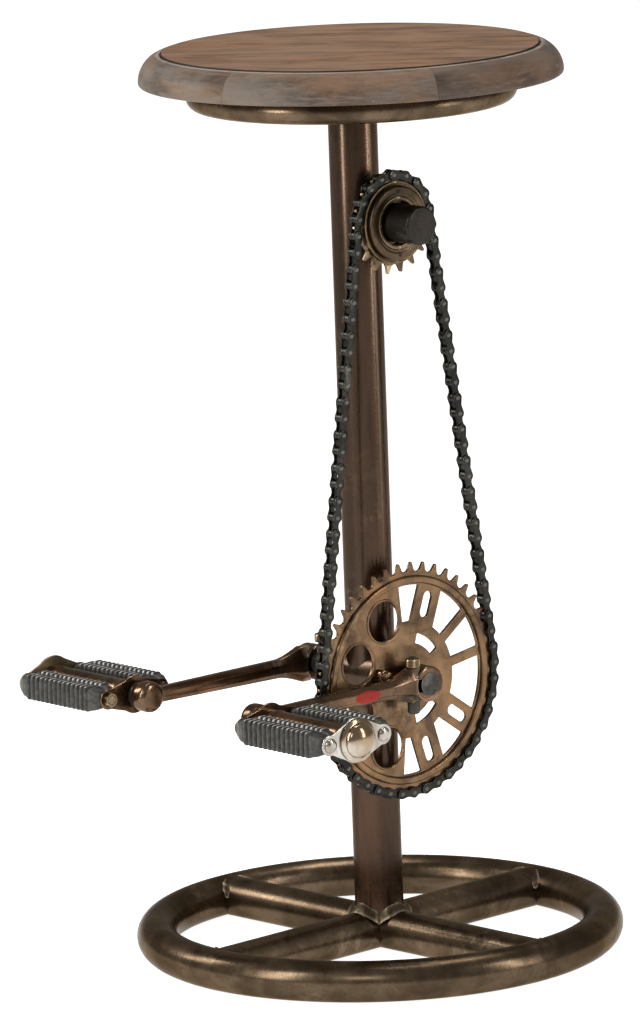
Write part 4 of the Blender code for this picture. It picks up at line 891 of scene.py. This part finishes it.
def spoke_slot(angle):
    half = SPOKE_SLOT / 2
    near = polar(WINDOW_INNER + SPOKE_SLOT_LAND + half, angle)
    far = polar(WINDOW_OUTER - SPOKE_SLOT_LAND - half, angle)
    outline = arc(far, half, angle - pi / 2, angle + pi / 2, 10)
    return outline + arc(near, half, angle + pi / 2, angle + 3 * pi / 2, 10)


def hub_slot(angle):
    outer = HUB_SLOT_CIRCLE + HUB_SLOT_WIDTH / 2
    inner = HUB_SLOT_CIRCLE - HUB_SLOT_WIDTH / 2
    outline = arc((0, 0), outer, angle - HUB_SLOT_HALF, angle + HUB_SLOT_HALF, 14)
    outline += arc((0, 0), inner, angle + HUB_SLOT_HALF, angle - HUB_SLOT_HALF, 12)
    return soften(outline, HUB_SLOT_CORNER)


def build_chainring():
    axis = Vector((CHAIN_LINE, 0, CRANK_HEIGHT))
    face = SPROCKET_THICKNESS / 2
    spokes = [(radians(angle), width / 2) for angle, width, slotted in SPOKES]
    edges = [(WEB_EDGES[0], 0.0)] + spokes + [(WEB_EDGES[1], 0.0)]
    holes = [polar(RING_HOLE_CIRCLE, angle) for angle in RING_HOLE_ANGLES]
    outlines = [toothed(CHAINRING_TEETH, -pi / 2), ring_of((0, 0), RING_BORE, 40)]
    outlines += [window(*first, *second) for first, second in zip(edges, edges[1:])]
    outlines += [spoke_slot(radians(angle)) for angle, width, slotted in SPOKES if slotted]
    outlines += [hub_slot(angle) for angle in HUB_SLOT_ANGLES]
    outlines += [ring_of(hole, RING_HOLE, 40) for hole in holes]
    shape = shape_of(plate(outlines, SPROCKET_THICKNESS, axis, SOFT_EDGE))

    rim = [(radius, face + rise) for radius, rise in RIM_PROFILE]
    lathe(shape, rounded(rim, SOFT_EDGE), axis, "X", RING_STEPS)
    lip = [(RING_HOLE + HOLE_LIP_WIDTH * share, face + rise) for share, rise in HOLE_LIP]
    for hole in holes:
        lathe(shape, rounded(lip, SOFT_EDGE), axis + Vector((0, *hole)), "X", 48)
    make("chain_ring", shape, "crankset", COPPER, "copper_bronze", "chainring", overlay=EDGE)


def build_freewheel():
    axis = Vector((0, 0, FREEWHEEL_HEIGHT))
    stub_low, stub_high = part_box("freewheel_stub")
    radius = extent("freewheel_stub").z / 2
    end = stub_high.x
    chamfer = radius * STUB_CHAMFER
    stub = [(0.0, end), (radius - chamfer, end), (radius, end - chamfer), (radius, stub_low.x)]
    finish = ("stand", BLACKED, "bronze_lacquer")
    turned("round_stub", stub, axis, "X", *finish, "freewheel_stub", edge=STUB_EDGE)

    lock_low, lock_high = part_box("freewheel_lockring")
    outer = extent("freewheel_lockring").z / 2
    face = lock_high.x
    land = outer - LOCK_LAND
    floor = face - LOCK_RECESS
    lock = [(NECK_RADIUS, lock_low.x), (NECK_RADIUS, floor - SOFT_EDGE), (NECK_RADIUS + SOFT_EDGE, floor)]
    lock += [(land - LOCK_SLOPE, floor), (land, face), (outer - LOCK_CHAMFER[0], face)]
    lock += [(outer, face - LOCK_CHAMFER[1]), (outer, lock_low.x)]
    turned("lock_ring", lock, axis, "X", "stand", LOCK, "brassy_steel", "freewheel_lockring", steps=96)
    # Painted shade: flat dark discs just proud of the face stand in for the two pin sockets
    socket_shades = bmesh.new()
    socket = [(0.0, LOCK_PIN_PROUD), (LOCK_PIN_RADIUS, LOCK_PIN_PROUD)]
    for side in (-1, 1):
        lathe(socket_shades, socket, axis + Vector((face, 0, side * LOCK_PIN_CIRCLE)), "X", 20)
    make("lock_ring_sockets", socket_shades, "stand", BLACKED, "dark_steel")

    body_low, body_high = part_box("freewheel_body")
    neck = [(SLEEVE_RADIUS, body_low.x), (SLEEVE_RADIUS, body_high.x)]
    neck += [(NECK_RADIUS, body_high.x), (NECK_RADIUS, lock_low.x)]
    neck += [(FREEWHEEL_BODY, lock_low.x - NECK_GAP), (FREEWHEEL_BODY, body_low.x)]
    turned("inner_body", neck, axis, "X", "stand", BRASSY, "brassy_steel", "freewheel_body", steps=96)

    half = extent("freewheel_sprocket").x / 2
    line = Vector((CHAIN_LINE, 0, FREEWHEEL_HEIGHT))
    rims = [toothed(FREEWHEEL_TEETH, pi / 2), ring_of((0, 0), (SHELL_INNER + SHELL_OUTER) / 2, 48)]
    shape = shape_of(plate(rims, SPROCKET_THICKNESS, line, THIN_EDGE))
    ledge = SHELL_OUTER - SHELL_LEDGE
    drum = [(SHELL_INNER, half - SHELL_STEP), (ledge, half - SHELL_STEP), (ledge, half)]
    drum += [(SHELL_OUTER, half), (SHELL_OUTER, -half), (SHELL_INNER, -half)]
    lathe(shape, rounded(drum, THIN_EDGE), line, "X", 96)
    make("toothed_wheel", shape, "freewheel", BRASSY, "brassy_steel", "freewheel_sprocket", overlay=EDGE)


# Cranks


def arm_size(reach):
    """Half height and half width of the arm: a hollow shoulder at the boss, then a taper."""
    length = -JOINT_AT["right_pedal_spin"][1]
    root = BOSS_RADIUS + SHOULDER_LENGTH
    share = max(0.0, reach - root) / (length - root)
    height = (ARM_AT_BOSS + share * (ARM_AT_EYE - ARM_AT_BOSS)) / 2
    width = height * ARM_FLATNESS
    swell = min(1.0, max(0.0, (root - reach) / SHOULDER_LENGTH)) ** SHOULDER_HOLLOW
    return height + swell * (BOSS_RADIUS - height), width + swell * (BOSS_HALF - width)


def arm_section(plane, reach):
    """A softened eight-sided section across the arm at a distance from the axle."""
    tall, wide = arm_size(reach)
    half = pi / ARM_SIDES
    corners = arc((0, 0), 1 / cos(half), half, 2 * pi - half, ARM_SIDES)
    outline = soften([(wide * across, tall * up) for across, up in corners], ARM_EDGE)
    return [Vector((plane + across, -reach, CRANK_HEIGHT + up)) for across, up in outline]


def hex_nut(name, origin, height, flats, bore, axis, body, slot, node):
    """A hexagon nut with chamfered corners."""
    corner = flats / 2 / cos(pi / 6)
    rows = []
    for level, reach in NUT_PROFILE:
        row = []
        for index in range(NUT_STEPS):
            angle = 2 * pi * index / NUT_STEPS
            wedge = (angle + pi / 6) % (pi / 3) - pi / 6
            radius = min(flats / 2 / cos(wedge), corner * reach) if reach else bore
            place = Vector((*polar(radius, angle), level * height))
            row.append(AXES[axis] @ place + Vector(origin))
        rows.append(row)
    shape = loft(bmesh.new(), rows, caps=False)
    return make(name, shape, body, BRASSY, slot, node, smooth=24)


def build_crank(side, sign):
    pivot = Vector(JOINT_AT[side + "_pedal_spin"])
    plane = pivot.x
    length = -pivot.y
    root = BOSS_RADIUS + SHOULDER_LENGTH
    axle = (plane, 0, CRANK_HEIGHT)
    shape = bmesh.new()
    reaches = [BOSS_RADIUS * ARM_ROOT] + [BOSS_RADIUS + SHOULDER_LENGTH * step / 10 for step in range(11)]
    reaches += [root + (length - root) * step / 6 for step in range(1, 7)]
    loft(shape, [arm_section(plane, reach) for reach in reaches])

    boss = [(AXLE_RADIUS, BOSS_HALF), (BOSS_RADIUS, BOSS_HALF)]
    boss += [(radius, -along) for radius, along in reversed(boss)]
    lathe(shape, rounded(boss, BOSS_EDGE), axle, "X", 64)
    eye = [(0.0, EYE_HALF), (EYE_RADIUS, EYE_HALF), (EYE_RADIUS, -EYE_HALF), (0.0, -EYE_HALF)]
    lathe(shape, rounded(eye, EYE_ROUND, 6), (plane, pivot.y, CRANK_HEIGHT), "X", 56)
    if sign > 0:
        spigot = [(RING_BORE, CHAIN_LINE - plane), (RING_BORE, -BOSS_HALF + BOSS_EDGE)]
        lathe(shape, spigot, axle, "X", 48)
    make(side + "_crank_arm", shape, "crankset", CRANK, "copper_bronze", side + "_crank")

    name = side + "_cotter"
    low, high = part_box(name)
    shank = low.z + BOSS_RADIUS
    pin = [(0.0, high.z), (COTTER_THREAD * COTTER_TIP, high.z), (COTTER_THREAD, high.z - COTTER_CHAMFER[0])]
    pin += [(COTTER_THREAD, shank + COTTER_RADIUS), (COTTER_RADIUS, shank)]
    pin += [(COTTER_RADIUS, low.z + COTTER_CHAMFER[1]), (COTTER_RADIUS * COTTER_TIP, low.z), (0.0, low.z)]
    spot = centre(name)
    spot.z = 0
    turned(name + "_pin", pin, spot, "Z", "crankset", BLACKED, "dark_steel", name, steps=32, edge=0)
    node = name + "_nut"
    spot.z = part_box(node)[0].z
    nut = (extent(node).z, COTTER_NUT_FLATS, COTTER_THREAD, "Z")
    hex_nut(name + "_hex", spot, *nut, "crankset", "brassy_steel", node)


def build_axle():
    low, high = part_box("crank_axle")
    axle = [(0.0, high.x), (AXLE_RADIUS, high.x), (AXLE_RADIUS, low.x), (0.0, low.x)]
    finish = ("crankset", ROUGH_STEEL, "bare_steel")
    turned("round_axle", axle, (0, 0, CRANK_HEIGHT), "X", *finish, "crank_axle", edge=BROAD_EDGE)


def build_drive_pin():
    """The stepped pin that stands on the chainring and takes the crank's push."""
    low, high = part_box("drive_pin")
    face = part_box("chainring")[1].x
    radius = (high.z - low.z) / 2
    step = face + (high.x - face) * DRIVE_PIN_STEP
    pin = [(0.0, high.x), (DRIVE_PIN_TIP, high.x), (DRIVE_PIN_TIP, step), (radius - DRIVE_PIN_EDGE, step)]
    pin += [(radius, step - DRIVE_PIN_EDGE), (radius, low.x), (0.0, low.x)]
    spot = centre("drive_pin")
    spot.x = 0
    finish = ("crankset", CRANK, "bare_steel")
    turned("drive_peg", pin, spot, "X", *finish, "drive_pin", steps=32, edge=THIN_EDGE)


def build_label():
    """The plain red oval on the right crank's outer side."""
    plane = JOINT_AT["right_pedal_spin"][0]
    tall, wide = arm_size(-LABEL_MIDDLE[0])
    flat = tall * tan(pi / ARM_SIDES)
    rows = []
    for share, lift in LABEL_PROFILE:
        row = []
        for along, up in ring_of((0, 0), share, 48):
            y = LABEL_MIDDLE[0] + LABEL_HALF_LONG * along
            z = LABEL_MIDDLE[1] + LABEL_HALF_TALL * up
            x = wide - max(0.0, abs(z) - flat) * wide / tall
            row.append(Vector((plane + x + lift, y, CRANK_HEIGHT + z)))
        rows.append(row)
    make("blank_label", loft(bmesh.new(), rows, caps=False), "crankset", LABEL, "copper_bronze")


# Pedals


def block_section(x, middle, half_y, half_z):
    """A rounded section of a rubber block, with a shallow dip along its top and its underside."""
    quarter = arc((half_y - BLOCK_CORNER, half_z - BLOCK_CORNER), BLOCK_CORNER, 0, pi / 2, 5)
    quarter += [(half_y * BLOCK_DIP_SPAN[0], half_z), (half_y * BLOCK_DIP_SPAN[1], half_z - BLOCK_DIP)]
    top = quarter + [(-y, z) for y, z in reversed(quarter)]
    outline = top + [(-y, -z) for y, z in top]
    return [Vector((x, middle.y + y, middle.z + z)) for y, z in outline]


def rubber_block(name, node, body):
    """A rubber block with smooth tapered ends, ribs all round and pale scuffs with a painted highlight on the
    ribs on top.
    """
    low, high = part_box(node)
    middle = (low + high) / 2
    half = (high - low) / 2
    last = 2 * half.x - BLOCK_TAPER
    pitch = (last - BLOCK_TAPER) / RIBS
    stations = list(BLOCK_END)
    for rib in range(RIBS):
        start = BLOCK_TAPER + rib * pitch
        stations += [(start + pitch * share, sink) for share, sink in RIB_PROFILE]
    stations += [(2 * half.x - along, sink) for along, sink in reversed(BLOCK_END)]
    sections = []
    for along, sink in stations:
        inset = sink * RIB_DEPTH
        sections.append(block_section(low.x + along, middle, half.y - inset, half.z - inset))
    shape = loft(bmesh.new(), sections)
    # Upward faces of the rib tops take pale scuffs with a painted highlight
    for face in shape.faces:
        place = face.calc_center_median()
        along = place.x - low.x
        rib = (along - BLOCK_TAPER) / pitch % 1.0
        upper = place.z > high.z - RIB_DEPTH / 2 and abs(place.y - middle.y) > half.y * SCUFF_HIGHLIGHT_FROM
        on_rib = BLOCK_TAPER < along < last and SCUFF_HIGHLIGHT_SHARE[0] < rib < SCUFF_HIGHLIGHT_SHARE[1]
        face.material_index = int(upper and on_rib)
    make(name, shape, body, RUBBER, "pedal_rubber", node, smooth=50, overlay=SCUFFS_AND_HIGHLIGHT)


def plate_shape(disc):
    """Bow-tie outline: a disc with a lobe at each side, joined by hollow curves."""
    half = arc((BOLT_SPREAD, 0), LOBE, -LOBE_WRAP, LOBE_WRAP, 14) + arc((0, 0), disc, *DISC_SPAN, 12)
    return soften(half + [(-y, -z) for y, z in half], PLATE_CORNER)


def build_pedal(side, sign, material, cap_material, slot):
    body = side + "_pedal"
    name = side + "_pedal_"
    pivot = Vector(JOINT_AT[side + "_pedal_spin"])
    origin = (0, pivot.y, pivot.z)

    def span(node):
        """The inner and the outer end of a node along the spindle."""
        low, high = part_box(name + node)
        return (low.x, high.x) if sign > 0 else (high.x, low.x)

    plate_in, plate_out = span("outer_plate")
    for end in ("front", "rear"):
        rubber_block(name + end + "_block", name + end + "_rubber", body)
        bolt_in, bolt_out = span(end + "_bolt")
        node = name + end + "_bolt"
        spot = centre(node)
        spot.x = 0
        rise = bolt_out - plate_out
        head = [(BOLT_HEAD * share, plate_out + rise * up) for share, up in BOLT_PROFILE]
        head += [(BOLT_RADIUS, head[-1][1]), (BOLT_RADIUS, bolt_in), (0.0, bolt_in)]
        turned(name + end + "_rivet", head, spot, "X", body, material, slot, node, steps=32, edge=FINE_EDGE)
        node = name + end + "_nut"
        spot.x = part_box(node)[0].x
        nut = (extent(node).x, PEDAL_NUT_FLATS, BOLT_RADIUS, "X")
        hex_nut(name + end + "_hex", spot, *nut, body, "bare_steel", node)

    barrel_in, barrel_out = span("barrel")
    bronze = (CRANK, "copper_bronze")
    tube = [(radius, barrel_out - sign * along) for radius, along in BARREL_PROFILE]
    tube += [(radius, barrel_in + sign * along) for radius, along in reversed(BARREL_PROFILE)]
    tube.append((SPINDLE_RADIUS * BARREL_BORE, barrel_in))
    turned(name + "tube", tube, origin, "X", body, *bronze, name + "barrel", steps=48)

    middle = Vector(((plate_in + plate_out) / 2, pivot.y, pivot.z))
    sheet = plate([plate_shape(OUTER_DISC)], abs(plate_out - plate_in), middle, SOFT_EDGE)
    make(name + "outer_sheet", sheet, body, material, slot, name + "outer_plate", overlay=material)
    inner_in, inner_out = span("inner_plate")
    middle.x = (inner_in + inner_out) / 2
    outlines = [plate_shape(INNER_DISC), ring_of((0, 0), SPINDLE_RADIUS * INNER_BORE, 32)]
    sheet = plate(outlines, abs(inner_out - inner_in), middle, THIN_EDGE)
    make(name + "inner_sheet", sheet, body, *bronze, name + "inner_plate", overlay=EDGE)

    cap_in, cap_out = span("dust_cap")
    rise = cap_out - cap_in
    cap = []
    for across, up in arc((0, 0), 1.0, pi / 2, 0, 14):
        cap.append((DOME_RADIUS * across, cap_in + rise * (DOME_FOOT + (1 - DOME_FOOT) * up)))
    cap += [(radius, cap_in + rise * level) for radius, level in CAP_PROFILE]
    turned(name + "dome", cap, origin, "X", body, cap_material, slot, name + "dust_cap", edge=0)

    start = pivot.x + sign * EYE_HALF
    cone = [(THREAD_RADIUS, pivot.x)]
    cone += [(radius, start + sign * along) for radius, along in CONE_PROFILE]
    cone.append((SPINDLE_RADIUS, span("spindle")[1]))
    finish = ("crankset", BLACKED, "dark_steel")
    turned(name + "cone", cone, origin, "X", *finish, name + "spindle", steps=48, edge=FINE_EDGE)


# Plain CAD nodes, stage, light and camera


PLAIN_FINISHES = {"bb_cup_": BLACKED, "freewheel_sleeve": BLACKED, "seat_bar_": BRONZE}
PLAIN_FINISHES.update({"bb_bearing_": STEEL, "seat_screw_": STEEL})


def dress_cad():
    """Hidden and plain CAD nodes keep their shape and get their finish."""
    for node, held in NODES.items():
        for start, material in PLAIN_FINISHES.items():
            if node.startswith(start):
                held.data.materials.clear()
                held.data.materials.append(material)


FLOOR_HALF = 14.0
FLOOR_DROP = 0.0002
WORLD_STRENGTH = 0.32


def build_stage():
    shape = bmesh.new()
    bmesh.ops.create_grid(shape, x_segments=1, y_segments=1, size=FLOOR_HALF)
    mesh = mesh_from(shape, "floor")
    mesh.materials.append(pale_floor())
    floor = put("floor", mesh)
    floor.location = (0, 0, -FLOOR_DROP)
    world = bpy.data.worlds.new("studio")
    world.use_nodes = True
    background = world.node_tree.nodes["Background"]
    background.inputs["Color"].default_value = (1.0, 1.0, 1.0, 1.0)
    background.inputs["Strength"].default_value = WORLD_STRENGTH
    bpy.context.scene.world = world
    bpy.context.scene.view_settings.view_transform = "Standard"


AIM = Vector((0.0, 0.0, 0.4))
# Name, bearing in degrees to the right of the camera, distance, height, width and height of the box, power
SOFT_BOXES = (
    ("left_box", -52, 2.6, 1.5, 0.4, 2.0, 58),
    ("right_box", 68, 2.4, 1.2, 0.22, 1.8, 24),
    ("front_box", -10, 3.4, 2.2, 0.4, 0.9, 14),
    ("side_box", -105, 2.0, 1.4, 0.35, 0.9, 16),
    ("top_box", 150, 0.6, 3.0, 1.1, 1.5, 35),
)


def soft_box(name, bearing, distance, height, wide, tall, power):
    """A rectangular light aimed at the object."""
    turn = CAMERA_TURN - pi / 2 + radians(bearing)
    light = bpy.data.lights.new(name, "AREA")
    light.shape = "RECTANGLE"
    light.size = wide
    light.size_y = tall
    light.energy = power
    lamp = put(name, light)
    lamp.location = (*polar(distance, turn), height)
    lamp.rotation_euler = (AIM - lamp.location).to_track_quat("-Z", "Y").to_euler()


# Solved from the ring base, the seat, the post and the chainring in the photograph
CAMERA_PLACE = Vector((4.2885, -3.7942, 1.4234))
CAMERA_TURN = radians(48.5)
CAMERA_YAW = -0.0062
CAMERA_PITCH = 0.1858
CAMERA_ROLL = -0.0356
FOCAL_PIXELS = 7518.0
IMAGE_HEIGHT = 1025.0
SENSOR = 36.0
CAMERA_REACH = 100.0


def build_camera():
    heading = Matrix.Rotation(CAMERA_TURN - CAMERA_YAW, 4, "Z")
    tilt = Matrix.Rotation(pi / 2 - CAMERA_PITCH, 4, "X")
    roll = Matrix.Rotation(CAMERA_ROLL, 4, "Z")
    camera = bpy.data.cameras.new("camera")
    camera.sensor_width = SENSOR
    camera.lens = FOCAL_PIXELS / IMAGE_HEIGHT * SENSOR
    camera.clip_end = CAMERA_REACH
    holder = put("camera", camera)
    holder.matrix_world = Matrix.Translation(CAMERA_PLACE) @ heading @ tilt @ roll
    bpy.context.scene.camera = holder


def main():
    build_base()
    build_post()
    build_seat()
    build_chain()
    build_chainring()
    build_freewheel()
    build_axle()
    build_drive_pin()
    build_crank("right", 1)
    build_crank("left", -1)
    build_pedal("right", 1, PLATED, REFLECTIVE_DOME, "bright_plate")
    build_pedal("left", -1, BRASS_PLATE, BRASS_PLATE, "brassy_steel")
    build_label()
    dress_cad()
    build_stage()
    for box in SOFT_BOXES:
        soft_box(*box)
    build_camera()


main()
